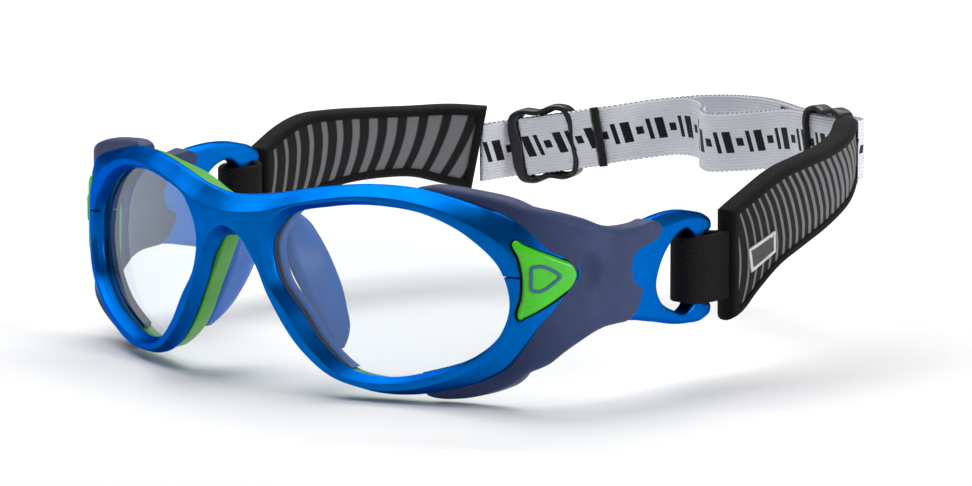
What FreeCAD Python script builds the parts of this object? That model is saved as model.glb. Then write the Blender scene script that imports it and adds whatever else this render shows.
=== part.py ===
import FreeCAD, Part
import math
import os

# Sports protective goggles. Millimetres, +Z up, the wearer looks along -Y, +X is the wearer's left.
# The origin is the nose seat: on the symmetry plane, between the nose pads, level with the lens centres.

Vector = FreeCAD.Vector

# ---- driving dimensions ----
BRIDGE_Y = -8.0            # front face of the bridge
WRAP_SLOPE = 0.2365        # how fast the front falls back beside the nose
WRAP_CURVE = 0.00228       # extra wrap towards the temples, per mm squared
WRAP_BLEND = 6.0           # rounding of the wrap at the symmetry plane
CORNER_X = 58.0            # where the end-piece starts to turn backwards
CORNER_TURN = 0.0109       # how sharply it turns, per mm cubed
FRONT_THICK = 4.2          # blue front shell
LINER_THICK = 2.8          # rear liner behind it
LENS_FRONT = 2.6           # lens front face behind the front face of the rim
LENS_THICK = 1.55
LENS_LAP = 0.9             # how far the lens runs under the rim
LENS_GAP = 0.05
KERF = 0.36                # the split in the rim beside the lock cap
KERF_Z = 4.6
TEMPLE_THICK = 4.8         # over the rubber cover
COVER_SKIN = 0.9
LOOP_THICK = 3.6           # blue strap loop
LOOP_SINK = 0.6            # its outer face below the cover's
WEB_THICK = 1.3
PAD_CORE = 3.2
PAD_SKIN = 0.7
PAD_BINDING = 2.2          # width of the folded edge binding
PLY_THICK = 1.0
PLY_WIDTH = 12.6
PLY_STEP = 2.6             # the outer ply runs this far outside the inner one at a slider
SLIDER_LONG = 15.6
SLIDER_HALF = 1.8          # half the thickness
SLIDER_CLEAR = 0.4         # round the elastic
SLIDER_AT = (40.3, 131.0)  # middle of a slider in plan
SLIDER_YAW = 18.0          # degrees between a slider and the X axis in plan
SLIDER_Z = {1: 15.2, -1: 6.8}        # height of a slider's middle, left and right
SLIDER_SLOPE = {1: -0.04, -1: 0.19}   # climb of the elastic through it, towards the symmetry plane
FRONT_REAR = 26.4          # where the front ends and the temple begins
SCREW_R = 0.8
HEAD_R = 1.6
SCREW_CLEAR = 0.05
INSERT_R = 1.3             # threaded brass insert
LAP = 1.6                  # thickness of each tongue of the lap joint
LAP_REAR = 34.5
SCREW_Y = 30.0
SCREW_Z = 2.8

LEFT, RIGHT = 1, -1
FAR = 90.0                 # longer than any piece, for cutting prisms

# Opening of the left rim seen from the front, (x, z), anticlockwise from the temple side.
OPENING = [(58.8, -1.5), (57.2, 5.8), (51.5, 11.9), (43.0, 16.4), (33.0, 18.0), (22.5, 17.2),
           (13.2, 14.3), (9.2, 8.0), (10.2, 1.0), (15.0, -5.6), (19.6, -12.0), (26.0, -17.0),
           (34.0, -18.2), (43.5, -16.2), (52.0, -12.4), (57.0, -7.2)]
# Top and bottom edge of the whole front, left half, from the symmetry plane outwards.
BROW = [(0.0, 16.9), (8.0, 17.6), (19.5, 19.8), (30.0, 21.1), (41.0, 20.6), (50.0, 18.5),
        (57.0, 16.0), (61.2, 14.0), (64.9, 10.9), (66.4, 9.5), (67.2, 7.6)]
SOLE = [(0.0, 9.6), (3.4, 8.4), (6.0, 5.0), (10.4, -2.8), (17.4, -13.6), (23.5, -18.3),
        (30.4, -20.5), (37.2, -20.7), (46.3, -18.9), (53.0, -16.4), (57.3, -13.8), (61.2, -9.3),
        (64.1, -4.7), (66.0, -1.4), (67.1, 1.4)]
# The green lock cap, seen from the front.
CAP = [(66.75, 4.9), (66.5, 6.7), (65.5, 8.0), (60.8, 11.2), (59.4, 11.8), (59.3, 11.1), (60.4, 8.2),
       (60.9, 4.4), (60.8, 0.8), (60.2, -3.3), (60.5, -3.9), (61.3, -3.4), (65.6, 0.8), (66.5, 2.6)]
# Outer face of the temple in plan, from the end of the front to the tip of the strap loop.
TEMPLE_PLAN = [(67.6, 26.8), (68.1, 33.0), (67.9, 42.0), (67.2, 52.0), (66.5, 60.0), (66.0, 66.0)]
# Temple cover seen from the side, (y, z): its top edge and its bottom edge, front to back.
COVER_TOP = [(9.0, 20.0), (15.0, 19.2), (20.0, 17.9), (24.0, 16.2), (28.5, 14.2), (33.0, 12.9), (39.0, 12.5),
             (45.8, 12.8)]
COVER_BOTTOM = [(9.0, -18.4), (15.0, -16.0), (19.5, -12.6), (23.0, -9.7), (28.2, -7.4), (33.0, -6.7),
                (38.0, -6.5)]
# Rear edge of the cover, where the blue loop comes out, top to bottom.
COVER_REAR = [(45.8, 12.8), (48.0, 10.8), (46.8, 9.2), (41.0, 7.9), (38.8, 5.4), (39.2, 2.0), (41.6, -0.8),
              (40.4, -3.8), (38.0, -6.5)]
# Strap loop seen from the side.
LOOP_TOP = [(33.0, 8.6), (38.0, 9.6), (42.5, 11.4), (46.5, 12.8), (51.0, 13.3), (55.0, 13.3), (59.0, 12.8),
            (62.3, 11.9), (65.4, 9.8)]
LOOP_REAR = [(65.2, 8.4), (62.3, 8.4), (62.3, -6.2), (65.2, -6.2)]
LOOP_BOTTOM = [(65.4, -7.8), (62.8, -9.5), (55.0, -9.4), (50.0, -8.6), (44.0, -7.2), (38.0, -5.8),
               (33.0, -4.2)]
LOOP_SLOT = [(58.7, 9.3), (55.0, 9.2), (51.2, 7.0), (48.4, 3.6), (47.2, -0.8), (49.2, -4.2), (53.0, -6.4),
             (58.7, -7.1)]


# ---- small tools ----
def v_plan(p):
    return Vector(p[0], p[1], 0)


def v_front(p):
    return Vector(p[0], -FAR, p[1])


def v_side(p):
    return Vector(-FAR, p[0], p[1])


def curve(points):
    """A smooth open edge through the points."""
    spline = Part.BSplineCurve()
    spline.interpolate(points)
    return spline.toShape()


def ring(points):
    """A smooth closed wire through the points."""
    spline = Part.BSplineCurve()
    spline.interpolate(points, True)
    return Part.Wire([spline.toShape()])


def outline(*runs):
    """A closed wire of smooth runs, joined by straight edges where they do not meet."""
    edges = []
    ends = list(runs[1:]) + [runs[0]]
    for run, following in zip(runs, ends):
        edges.append(curve(run) if len(run) > 2 else Part.makeLine(run[0], run[1]))
        if run[-1].distanceToPoint(following[0]) > 1e-6:
            edges.append(Part.makeLine(run[-1], following[0]))
    return Part.Wire(edges)


def along_y(wire):
    return Part.Face(wire).extrude(Vector(0, 2 * FAR + 100, 0))


def along_x(wire):
    return Part.Face(wire).extrude(Vector(3 * FAR, 0, 0))


def along_z(wire, low=-40.0, high=40.0):
    face = Part.Face(wire)
    face.translate(Vector(0, 0, low))
    return face.extrude(Vector(0, 0, high - low))


def mirrored(shape):
    return shape.mirror(Vector(0, 0, 0), Vector(1, 0, 0))


def sided(shape, side):
    return shape if side == LEFT else mirrored(shape)


def solid_of(shape):
    """The one solid of a boolean result."""
    solids = sorted(shape.Solids, key=lambda s: s.Volume)
    return solids[-1]


def box(low, high):
    size = [b - a for a, b in zip(low, high)]
    return Part.makeBox(size[0], size[1], size[2], Vector(*low))


def offset_points(points, amount):
    """Plan points moved to the left of the direction of travel."""
    moved = []
    for i, p in enumerate(points):
        before = points[max(i - 1, 0)]
        after = points[min(i + 1, len(points) - 1)]
        dx = after[0] - before[0]
        dy = after[1] - before[1]
        length = math.hypot(dx, dy)
        moved.append((p[0] - dy / length * amount, p[1] + dx / length * amount))
    return moved


def grown(points, amount):
    """Closed anticlockwise points, each moved outwards along its own normal."""
    moved = []
    for i, p in enumerate(points):
        before = points[i - 1]
        after = points[(i + 1) % len(points)]
        dx = after[0] - before[0]
        dy = after[1] - before[1]
        length = math.hypot(dx, dy)
        moved.append((p[0] + dy / length * amount, p[1] - dx / length * amount))
    return moved


def band(points, near, far, low=-40.0, high=40.0):
    """A curved wall in plan between two offsets of a smooth line."""
    first = [v_plan(p) for p in offset_points(points, near)]
    second = [v_plan(p) for p in offset_points(points, far)]
    return along_z(outline(first, second[::-1]), low, high)


# ---- the wrapped front ----
def wrap_y(x):
    """Front face of the front in plan."""
    nose = WRAP_SLOPE * (math.sqrt(x * x + WRAP_BLEND ** 2) - WRAP_BLEND)
    corner = CORNER_TURN * max(0.0, abs(x) - CORNER_X) ** 3
    return BRIDGE_Y + nose + WRAP_CURVE * x * x + corner


STATIONS = [0, 4, 9, 16, 24, 32, 40, 48, 55, 60, 63, 65, 66.5]
LEFT_PLAN = [(x, wrap_y(x)) for x in STATIONS] + TEMPLE_PLAN
OUTER_PLAN = [(-x, y) for x, y in LEFT_PLAN[:0:-1]] + LEFT_PLAN


def shell(near, far):
    """The space between two depths under the outer face, from one strap loop round to the other."""
    return band(OUTER_PLAN, near, far)


def front_shell(near, far):
    """The same, over the front alone."""
    return shell(near, far).common(box((-FAR, -FAR, -FAR), (FAR, FRONT_REAR, FAR)))


def temple_shell(near, far, start):
    """The same, over the left temple alone."""
    return shell(near, far).common(box((0, start, -FAR), (FAR, FAR, FAR)))


def both_halves(points):
    """Front-view points of the left half, continued across the symmetry plane."""
    right = [(-p[0], p[1]) for p in points[:0:-1]]
    return [v_front(p) for p in right + points]


def front_ring(points, amount=0.0):
    """Closed smooth outline in the front view, grown by an amount."""
    return ring([v_front(p) for p in grown(points, amount)])


def opening(amount=0.0):
    return front_ring(OPENING, amount)


def left_and_right(shape):
    return [shape, mirrored(shape)]


def cap_prism(amount=0.0):
    return along_y(front_ring(CAP, amount))


def cap_recess():
    return cap_prism(0.3).common(front_shell(-3, 1.8))


def screw_cylinder(radius, start, end):
    """A round bar on the temple screw's axis, between two depths under the outer face."""
    outer_face = Vector(TEMPLE_PLAN[1][0], SCREW_Y, SCREW_Z)
    inward = Vector(-1, 0, 0)
    return Part.makeCylinder(radius, end - start, outer_face + inward * start, inward)


def lap_side(top, bottom, start, end):
    """Side view of one tongue of the lap joint between the front and the temple."""
    corners = [(start, bottom), (end, bottom), (end, top), (start, top), (start, bottom)]
    return along_x(Part.makePolygon([v_side(c) for c in corners]))


def front_stub():
    """The tongue of the front that reaches back under the cover to the temple screw."""
    tongue = temple_shell(COVER_SKIN, COVER_SKIN + LAP, FRONT_REAR - 1)
    tongue = tongue.common(lap_side(8.0, -2.0, FRONT_REAR - 1, LAP_REAR))
    return tongue.cut(screw_cylinder(INSERT_R, 0, 10))


def front_frame():
    top = both_halves(BROW)
    bottom = both_halves(SOLE)[::-1]
    body = along_y(outline(top, bottom)).common(front_shell(0, FRONT_THICK))
    hollow = along_y(opening())
    rabbet = along_y(opening(LENS_LAP + LENS_GAP)).common(front_shell(LENS_FRONT - LENS_GAP, FRONT_THICK + 2))
    kerf = box((56.5, -20, KERF_Z - KERF / 2), (61.3, FRONT_REAR, KERF_Z + KERF / 2))
    for stub in left_and_right(front_stub()):
        body = body.fuse(stub)
    for cutter in (hollow, rabbet, cap_recess(), kerf):
        for piece in left_and_right(cutter):
            body = body.cut(piece)
    return solid_of(body.removeSplitter())


def lens():
    return solid_of(along_y(opening(LENS_LAP)).common(front_shell(LENS_FRONT, LENS_FRONT + LENS_THICK)))


def rear_liner():
    edge = [(2.6, 14.4), (9.0, 17.0), (20.0, 19.2), (31.0, 20.4), (41.0, 19.9), (50.0, 17.4), (57.5, 13.4),
            (61.0, 6.0), (60.6, -3.0), (56.5, -11.6), (49.0, -16.8), (38.0, -19.9), (30.0, -19.8),
            (23.0, -17.4), (17.4, -12.2), (10.6, -1.6), (6.8, 5.8), (3.6, 10.4)]
    wall = along_y(front_ring(edge)).common(front_shell(FRONT_THICK, FRONT_THICK + LINER_THICK))
    return solid_of(wall.cut(along_y(opening(-0.1))))


def rim_gasket():
    """Soft strip round the temple half of the opening, behind the lens."""
    hoop = along_y(opening(-0.15)).cut(along_y(opening(-1.25)))
    reach = box((39.0, -30, -30), (70, 60, 30))
    depth = front_shell(FRONT_THICK, FRONT_THICK + LINER_THICK - 0.4)
    return solid_of(hoop.common(reach).common(depth))


def lock_cap():
    return solid_of(cap_prism().common(front_shell(-0.2, 1.75)))


# ---- nose piece ----
def pad_section(root, middle, edge, z, thick):
    """A thin curved strip at one height, from the rim back to the free edge."""
    path = [root, middle, edge]
    inner = [Vector(p[0], p[1], z) for p in offset_points(path, thick / 2)]
    outer = [Vector(p[0], p[1], z) for p in offset_points(path, -thick / 2)]
    return outline(inner, outer[::-1])


def nose_flange():
    sections = [pad_section((6.0, 1.8), (7.6, 4.0), (8.9, 6.4), 11.5, 1.7),
                pad_section((7.6, 2.0), (8.6, 6.4), (9.6, 11.0), 5.0, 2.0),
                pad_section((11.8, 3.0), (12.4, 8.2), (12.9, 12.6), -3.0, 2.0),
                pad_section((16.4, 4.2), (16.4, 8.2), (16.6, 11.0), -10.0, 1.8),
                pad_section((18.6, 4.9), (18.7, 6.2), (18.8, 7.6), -13.6, 1.4)]
    return Part.makeLoft(sections, True)


def nose_pads():
    saddle = band([(-8.2, 2.0), (-4.5, -0.3), (0.0, -1.0), (4.5, -0.3), (8.2, 2.0)], 0.0, 1.8, 10.0, 14.6)
    flange = nose_flange()
    return solid_of(saddle.fuse(flange).fuse(mirrored(flange)))


# ---- temples ----
def temple_arm():
    """Blue core that ends in the strap loop."""
    inner_face = TEMPLE_THICK - COVER_SKIN
    rear = [LOOP_TOP[-1]] + LOOP_REAR + [LOOP_BOTTOM[0]]
    runs = [LOOP_TOP] + [list(pair) for pair in zip(rear, rear[1:])] + [LOOP_BOTTOM]
    side = outline(*[[v_side(p) for p in run] for run in runs])
    slot = along_x(outline([v_side(p) for p in LOOP_SLOT]))
    blade = temple_shell(LOOP_SINK, LOOP_SINK + LOOP_THICK, LAP_REAR + 0.1).common(along_x(side)).cut(slot)
    tongue = temple_shell(COVER_SKIN + LAP, inner_face, FRONT_REAR + 0.2)
    tongue = tongue.common(lap_side(7.6, -1.6, FRONT_REAR + 0.2, LAP_REAR + 1))
    body = blade.fuse(tongue).removeSplitter()
    screw_way = screw_cylinder(SCREW_R + SCREW_CLEAR, 0, 10)
    insert_seat = screw_cylinder(INSERT_R, 0, COVER_SKIN + LAP + 0.1)
    head_seat = screw_cylinder(HEAD_R + 0.15, inner_face, 10)
    for seat in (screw_way, insert_seat, head_seat):
        body = body.cut(seat)
    return solid_of(body)


# Rubber strips above and below the rim, seen from the front: outer edge, then the edge under the blue.
STRIP_TOP = [(37.5, 19.6), (39.0, 21.0), (43.0, 21.8), (50.0, 20.6), (60.0, 18.1), (66.8, 16.0)]
STRIP_TOP_INNER = [(66.8, 10.0), (60.0, 12.0), (50.0, 16.0), (37.5, 19.6)]
STRIP_BOTTOM = [(40.0, -19.2), (42.0, -21.4), (47.0, -21.3), (55.0, -18.2), (61.0, -14.6), (66.8, -10.2)]
STRIP_BOTTOM_INNER = [(66.8, -3.0), (61.0, -8.0), (54.0, -14.0), (40.0, -19.2)]
STRIP_FRONT = 2.2          # depth of the strips' front under the front face
COVER_FRONT_X = 56.0       # the sleeve round the temple starts here
DIMPLE_R = 4.2             # hollow behind the tip of the lock cap
DIMPLE_AT = (71.4, 27.4, 5.0)


def rim_strip(outer, inner):
    """Rubber that rides on the rear half of the rim, above or below it."""
    wire = outline([v_front(p) for p in outer], [v_front(p) for p in inner])
    return along_y(wire).common(front_shell(STRIP_FRONT, FRONT_THICK + LINER_THICK + 0.3))


def temple_cover(neighbours):
    rear = [v_side(p) for p in COVER_REAR]
    side = along_x(outline([v_side(p) for p in COVER_TOP], rear, [v_side(p) for p in COVER_BOTTOM[::-1]]))
    sleeve = temple_shell(0.0, TEMPLE_THICK, -FAR).common(side)
    body = sleeve.common(box((COVER_FRONT_X, -FAR, -FAR), (FAR, FAR, FAR)))
    body = body.fuse(rim_strip(STRIP_TOP, STRIP_TOP_INNER))
    body = body.fuse(rim_strip(STRIP_BOTTOM, STRIP_BOTTOM_INNER))
    dimple = Part.makeSphere(DIMPLE_R, Vector(*DIMPLE_AT))
    lens_way = along_y(opening(LENS_LAP + LENS_GAP))
    insert_seat = screw_cylinder(INSERT_R, COVER_SKIN, 4)
    head_seat = screw_cylinder(HEAD_R + 0.6, TEMPLE_THICK - COVER_SKIN - 0.1, 10)
    for cutter in neighbours + [cap_recess(), dimple, lens_way, insert_seat, head_seat]:
        body = body.cut(cutter)
    return solid_of(body)


def threaded_insert():
    tube = screw_cylinder(INSERT_R, COVER_SKIN, COVER_SKIN + LAP)
    return solid_of(tube.cut(screw_cylinder(SCREW_R + SCREW_CLEAR, 0, 10)))


def temple_screw():
    under_head = TEMPLE_THICK - COVER_SKIN + 0.05
    head_top = under_head + 0.8
    body = screw_cylinder(SCREW_R, COVER_SKIN + 0.1, under_head + 0.1)
    body = body.fuse(screw_cylinder(HEAD_R, under_head, head_top)).removeSplitter()
    face_x = TEMPLE_PLAN[1][0] - head_top
    for half_y, half_z in ((0.9, 0.2), (0.2, 0.9)):
        body = body.cut(box((face_x - 0.1, SCREW_Y - half_y, SCREW_Z - half_z),
                            (face_x + 0.5, SCREW_Y + half_y, SCREW_Z + half_z)))
    return solid_of(body)


# ---- soft strap set ----
# Middle line of a side pad in plan, front to back.
PAD_PLAN = [(66.1, 68.0), (66.5, 74.0), (66.3, 83.0), (63.9, 98.5), (58.9, 112.5), (50.6, 124.2)]
# Pad seen from the side: y, height of its middle, half its height, front to back.
PAD_PROFILE = [(68.0, 1.0, 10.6), (75.0, 4.6, 10.8), (83.0, 7.8, 8.8), (98.5, 10.2, 7.6),
               (112.5, 11.4, 7.7), (119.5, 11.2, 8.9), (124.2, 11.0, 7.6)]
PAD_LIFT = 4.6             # extra height at the rear on the left, and the same drop on the right
PAD_HALF = PAD_CORE / 2 + PAD_SKIN
CORE_FRONT = 71.2          # the webbing is sewn in ahead of this
CORE_REAR = 121.4          # the elastic is sewn in behind this
# Webbing in plan: from the pad, outside the bar, through the slot and back inside the bar.
WEB_PLAN = [(66.95, 71.0), (66.95, 67.0), (67.2, 63.0), (67.15, 59.2), (66.1, 56.8), (64.2, 55.8),
            (62.2, 55.9), (60.8, 57.4), (60.4, 59.8), (60.9, 62.6), (62.8, 65.6), (65.0, 67.3),
            (65.45, 69.0), (65.5, 71.0)]
WEB_TOP = [(54.0, 7.4), (57.0, 7.8), (63.0, 8.0), (72.0, 8.0)]
WEB_BOTTOM = [(72.0, -5.9), (63.0, -5.9), (57.0, -5.7), (54.0, -5.4)]


def pad_side(side, inset=0.0):
    """Pad seen from the side, less an inset all round."""
    front = PAD_PROFILE[0][0]
    length = PAD_PROFILE[-1][0] - front
    top = []
    bottom = []
    for y, middle, half in PAD_PROFILE:
        share = (y - front) / length
        height = middle + side * PAD_LIFT * share
        reach = front + inset + (length - 2 * inset) * share
        top.append(v_side((reach, height + half - inset)))
        bottom.append(v_side((reach, height - half + inset)))
    return along_x(outline(top, bottom[::-1]))


def pad_layer(side, near, far, inset):
    """One layer of a left-hand pad, with the heights of the given side."""
    return band(PAD_PLAN, near, far).common(pad_side(side, inset))


def pad_core(side):
    body = pad_layer(side, -PAD_CORE / 2, PAD_CORE / 2, PAD_BINDING)
    return solid_of(body.common(box((0, CORE_FRONT, -FAR), (FAR, CORE_REAR, FAR))))


def pad_face(side):
    return solid_of(pad_layer(side, -PAD_HALF, -PAD_CORE / 2, PAD_BINDING))


def pad_lining(side):
    return solid_of(pad_layer(side, PAD_CORE / 2, PAD_HALF, PAD_BINDING))


def pad_binding(side):
    """Folded tape round the edge, open where the webbing and the elastic enter."""
    body = pad_layer(side, -PAD_HALF - 0.2, PAD_HALF + 0.2, 0.0)
    body = body.cut(pad_layer(side, -2 * PAD_HALF, 2 * PAD_HALF, PAD_BINDING))
    inside = band(PAD_PLAN, -PAD_CORE / 2, PAD_CORE / 2)
    webbing = inside.common(box((0, 60, -6.2), (FAR, CORE_FRONT, 8.3)))
    elastic = inside.common(box((0, CORE_REAR - 1, -FAR), (FAR, 140, FAR)))
    height_of_elastic = sided(ply_front_view(OUTER_HEIGHT, PLY_WIDTH + 0.6), side)
    return solid_of(body.cut(webbing).cut(elastic.common(height_of_elastic)))


def pad_patch(side):
    """Plain woven patch on the outer face."""
    corners = [(72.2, 3.9), (80.0, 6.5), (80.0, 2.2), (72.8, -0.8)]
    wire = Part.makePolygon([v_side(c) for c in corners + corners[:1]])
    return solid_of(band(PAD_PLAN, -PAD_HALF - 0.45, -PAD_HALF).common(along_x(wire)))


def webbing_loop():
    side = along_x(outline([v_side(p) for p in WEB_TOP], [v_side(p) for p in WEB_BOTTOM]))
    return solid_of(band(WEB_PLAN, -WEB_THICK / 2, WEB_THICK / 2).common(side))


# ---- elastic strap ----
# Height of the elastic's middle against x: straight through each slider and arched between them,
# with the inner ply sagging beside the symmetry plane.
SEWN_RIGHT = [(-53.0, 4.3), (-46.0, 5.7), (-40.3, 6.8), (-33.4, 8.2), (-26.5, 9.6)]
SEWN_LEFT = [(26.5, 14.6), (33.4, 14.9), (40.3, 15.2), (46.0, 15.5), (53.0, 15.8)]
OUTER_HEIGHT = SEWN_RIGHT + [(-12.0, 12.2), (0.0, 13.5), (12.0, 14.2)] + SEWN_LEFT
SAG = [(-18.0, 11.4), (-11.0, 12.3), (-3.0, 12.1), (4.0, 11.6), (12.0, 12.4)]
INNER_HEIGHT = SEWN_RIGHT + SAG + SEWN_LEFT
INNER_BACK = [(19.0, 136.4), (11.0, 134.8), (4.5, 133.6), (0.6, 135.6), (-2.6, 139.8), (-7.5, 143.2),
              (-13.5, 143.6), (-20.0, 140.6)]
OUTER_BACK = [(19.0, 142.2), (9.0, 146.4), (-2.0, 147.9), (-12.0, 146.9), (-20.0, 143.2)]
STRAIGHT = (-8.3, -5.5, -2.0, 2.0, 7.0, 12.0, 15.0)


def on_slider(distance, outward):
    """Plan point beside the left slider, along it towards the symmetry plane and outwards."""
    yaw = math.radians(SLIDER_YAW)
    return (SLIDER_AT[0] - math.cos(yaw) * distance + math.sin(yaw) * outward,
            SLIDER_AT[1] + math.sin(yaw) * distance + math.cos(yaw) * outward)


def ply_line(outward, sewn, back):
    """Plan line of one ply from the left pad, round the back, to the right pad."""
    left = sewn + [on_slider(d, outward) for d in STRAIGHT]
    return left + back + [(-x, y) for x, y in left[::-1]]


INNER_LINE = ply_line(0.0, [(51.2, 122.2), (50.1, 124.1)], INNER_BACK)
OUTER_LINE = ply_line(PLY_STEP, [(52.1, 122.9), (51.2, 124.7)], OUTER_BACK)


def ply_front_view(heights, width):
    """Everything within the elastic's edges, seen from the front."""
    top = [v_front((x, z + width / 2)) for x, z in heights]
    bottom = [v_front((x, z - width / 2)) for x, z in heights]
    return along_y(outline(top, bottom[::-1]))


def ply(line, heights):
    return solid_of(band(line, -PLY_THICK / 2, PLY_THICK / 2).common(ply_front_view(heights, PLY_WIDTH)))


def stitch_block():
    """Dense stitching on the inside of the outer ply, beside the left slider."""
    body = band(OUTER_LINE, PLY_THICK / 2, PLY_THICK / 2 + 0.4)
    body = body.common(ply_front_view(OUTER_HEIGHT, PLY_WIDTH - 2))
    return solid_of(body.common(box((17.0, 130, -FAR), (23.0, 160, FAR))))


# ---- sliders ----
END_BAR = 2.5              # width of a slider's end bars
MIDDLE_BAR = 1.8
TAIL_START = -4.9          # loose end of the elastic, along the right slider
TAIL_END = 12.6
HEM_LONG = 1.6


def place_on_strap(shape, side):
    """From slider axes (along, outward, up) to its place on the given side, drawn on the left."""
    along = FreeCAD.Rotation(Vector(0, 1, 0), -math.degrees(math.atan(SLIDER_SLOPE[side])))
    yaw = FreeCAD.Rotation(Vector(0, 0, 1), 180 - SLIDER_YAW)
    flip = FreeCAD.Rotation(Vector(1, 0, 0), 180)
    middle = Vector(SLIDER_AT[0], SLIDER_AT[1], SLIDER_Z[side])
    shape.Placement = FreeCAD.Placement(middle, yaw * along * flip)
    return shape


def slider(side):
    """Three-bar slider: the inner ply enters through the slotted end, then runs over the other bars."""
    end = SLIDER_LONG / 2
    reach = end + 1
    deep = SLIDER_HALF + 1
    rise = [(-end, 4.6), (-end + 0.9, 7.1), (-3.7, 8.2)]
    bumps = rise + [(0.0, 7.5)] + [(-x, z) for x, z in rise[::-1]]
    top = [Vector(x, -SLIDER_HALF, z) for x, z in bumps]
    bottom = [Vector(x, -SLIDER_HALF, -z) for x, z in bumps[::-1]]
    body = Part.Face(outline(top, bottom)).extrude(Vector(0, 2 * SLIDER_HALF, 0))
    slot = PLY_WIDTH / 2 + SLIDER_CLEAR
    gap = PLY_THICK / 2 + SLIDER_CLEAR
    body = body.cut(box((-reach, -gap, -slot), (reach, gap, slot)))
    body = body.cut(box((END_BAR - end, -deep, -slot), (reach, 0, slot)))
    body = body.cut(box((END_BAR - end, 0, -slot), (-MIDDLE_BAR / 2, deep, slot)))
    body = body.cut(box((MIDDLE_BAR / 2, 0, -slot), (end - END_BAR, deep, slot)))
    return place_on_strap(solid_of(body), side)


def strap_tail(side):
    """Loose end of the elastic, sewn to the slider and lying inside the inner ply."""
    half = PLY_WIDTH / 2
    return place_on_strap(box((TAIL_START, -1.65, -half), (TAIL_END, -0.75, half)), side)


def tail_hem(side):
    half = PLY_WIDTH / 2 + 0.3
    return place_on_strap(box((TAIL_END, -1.75, -half), (TAIL_END + HEM_LONG, -0.7, half)), side)


# ---- the whole ----
def save(name, shape):
    shape.exportStep(os.path.join("parts", name + ".step"))


def save_pair(name, shape):
    save(name + "_left", shape)
    save(name + "_right", mirrored(shape))


def main():
    os.makedirs("parts", exist_ok=True)
    front = front_frame()
    liner = rear_liner()
    arm = temple_arm()
    save("front_frame", front)
    save("nose_pads", nose_pads())
    save_pair("lens", lens())
    save_pair("rear_liner", liner)
    save_pair("rim_gasket", rim_gasket())
    save_pair("lock_cap", lock_cap())
    save_pair("temple_arm", arm)
    save_pair("temple_cover", temple_cover([front, liner, arm]))
    save_pair("threaded_insert", threaded_insert())
    save_pair("temple_screw", temple_screw())
    save_pair("webbing_loop", webbing_loop())
    save_pair("pad_patch", pad_patch(LEFT))
    for name, side in (("left", LEFT), ("right", RIGHT)):
        for make in (pad_core, pad_face, pad_lining, pad_binding, slider):
            save(make.__name__ + "_" + name, sided(make(side), side))
    save("strap_tail", sided(strap_tail(RIGHT), RIGHT))
    save("tail_hem", sided(tail_hem(RIGHT), RIGHT))
    save("strap_inner_ply", ply(INNER_LINE, INNER_HEIGHT))
    save("strap_outer_ply", ply(OUTER_LINE, OUTER_HEIGHT))
    save("stitch_block", stitch_block())


if __name__ == "__main__":
    main()
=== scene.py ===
import math

import bmesh
import bpy
import numpy as np
from mathutils import Matrix, Vector


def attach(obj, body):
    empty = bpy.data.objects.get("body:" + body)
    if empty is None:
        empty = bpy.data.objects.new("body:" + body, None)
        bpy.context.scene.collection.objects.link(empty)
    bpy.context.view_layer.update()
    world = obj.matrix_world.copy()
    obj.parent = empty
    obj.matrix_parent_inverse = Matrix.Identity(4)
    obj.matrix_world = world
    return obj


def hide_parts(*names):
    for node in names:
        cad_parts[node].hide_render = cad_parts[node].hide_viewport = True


# Sports protective goggles. Shapes are worked out in millimetres and stored in metres,
# in the row's frame: +Z up, the wearer looks along -Y, +X is the wearer's left.

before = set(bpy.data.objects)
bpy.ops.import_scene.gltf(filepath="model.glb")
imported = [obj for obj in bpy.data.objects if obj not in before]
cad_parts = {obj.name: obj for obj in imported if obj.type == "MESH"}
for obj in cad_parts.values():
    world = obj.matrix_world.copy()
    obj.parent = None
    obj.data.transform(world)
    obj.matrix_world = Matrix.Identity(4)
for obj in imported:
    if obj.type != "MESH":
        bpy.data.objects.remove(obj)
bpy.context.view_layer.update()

MM = 0.001
LEFT, RIGHT = 1, -1
SIDES = (("left", LEFT), ("right", RIGHT))


# ---------------------------------------------------------------- curves
def smooth(points, step, closed=False, dims=2):
    """Points along a smooth line through the given ones, about a step apart.

    The first dims numbers of each point measure distance; the rest are carried along."""
    points = [np.array(p, float) for p in points]
    count = len(points)

    def gap(a, b):
        return max(float(np.linalg.norm((b - a)[:dims])), 1e-6)

    def slope(i):
        before = points[i - 1] if closed or i else points[0]
        here = points[i]
        after = points[(i + 1) % count] if closed else points[min(i + 1, count - 1)]
        behind, ahead = gap(before, here), gap(here, after)
        if not closed and i == 0:
            return (after - here) / ahead
        if not closed and i == count - 1:
            return (here - before) / behind
        return ((here - before) / behind * ahead + (after - here) / ahead * behind) / (behind + ahead)

    made = []
    for i in range(count if closed else count - 1):
        a, b = points[i], points[(i + 1) % count]
        length = gap(a, b)
        start, end = slope(i) * length, slope((i + 1) % count) * length
        pieces = max(1, round(length / step))
        for k in range(pieces):
            t = k / pieces
            made.append(a * (2 * t ** 3 - 3 * t ** 2 + 1) + start * (t ** 3 - 2 * t ** 2 + t)
                        + b * (3 * t ** 2 - 2 * t ** 3) + end * (t ** 3 - t ** 2))
    if not closed:
        made.append(points[-1])
    return [tuple(p) for p in made]


def grow(loop, amount):
    """A closed loop of flat points moved outwards; amount may differ from point to point."""
    count = len(loop)
    amounts = amount if isinstance(amount, list) else [amount] * count
    area = sum(loop[i - 1][0] * loop[i][1] - loop[i][0] * loop[i - 1][1] for i in range(count))
    sign = 1 if area > 0 else -1
    moved = []
    for i, p in enumerate(loop):
        before, after = loop[i - 1], loop[(i + 1) % count]
        du, dv = after[0] - before[0], after[1] - before[1]
        length = math.hypot(du, dv) or 1.0
        moved.append((p[0] + sign * dv / length * amounts[i], p[1] - sign * du / length * amounts[i]))
    return moved


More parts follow.
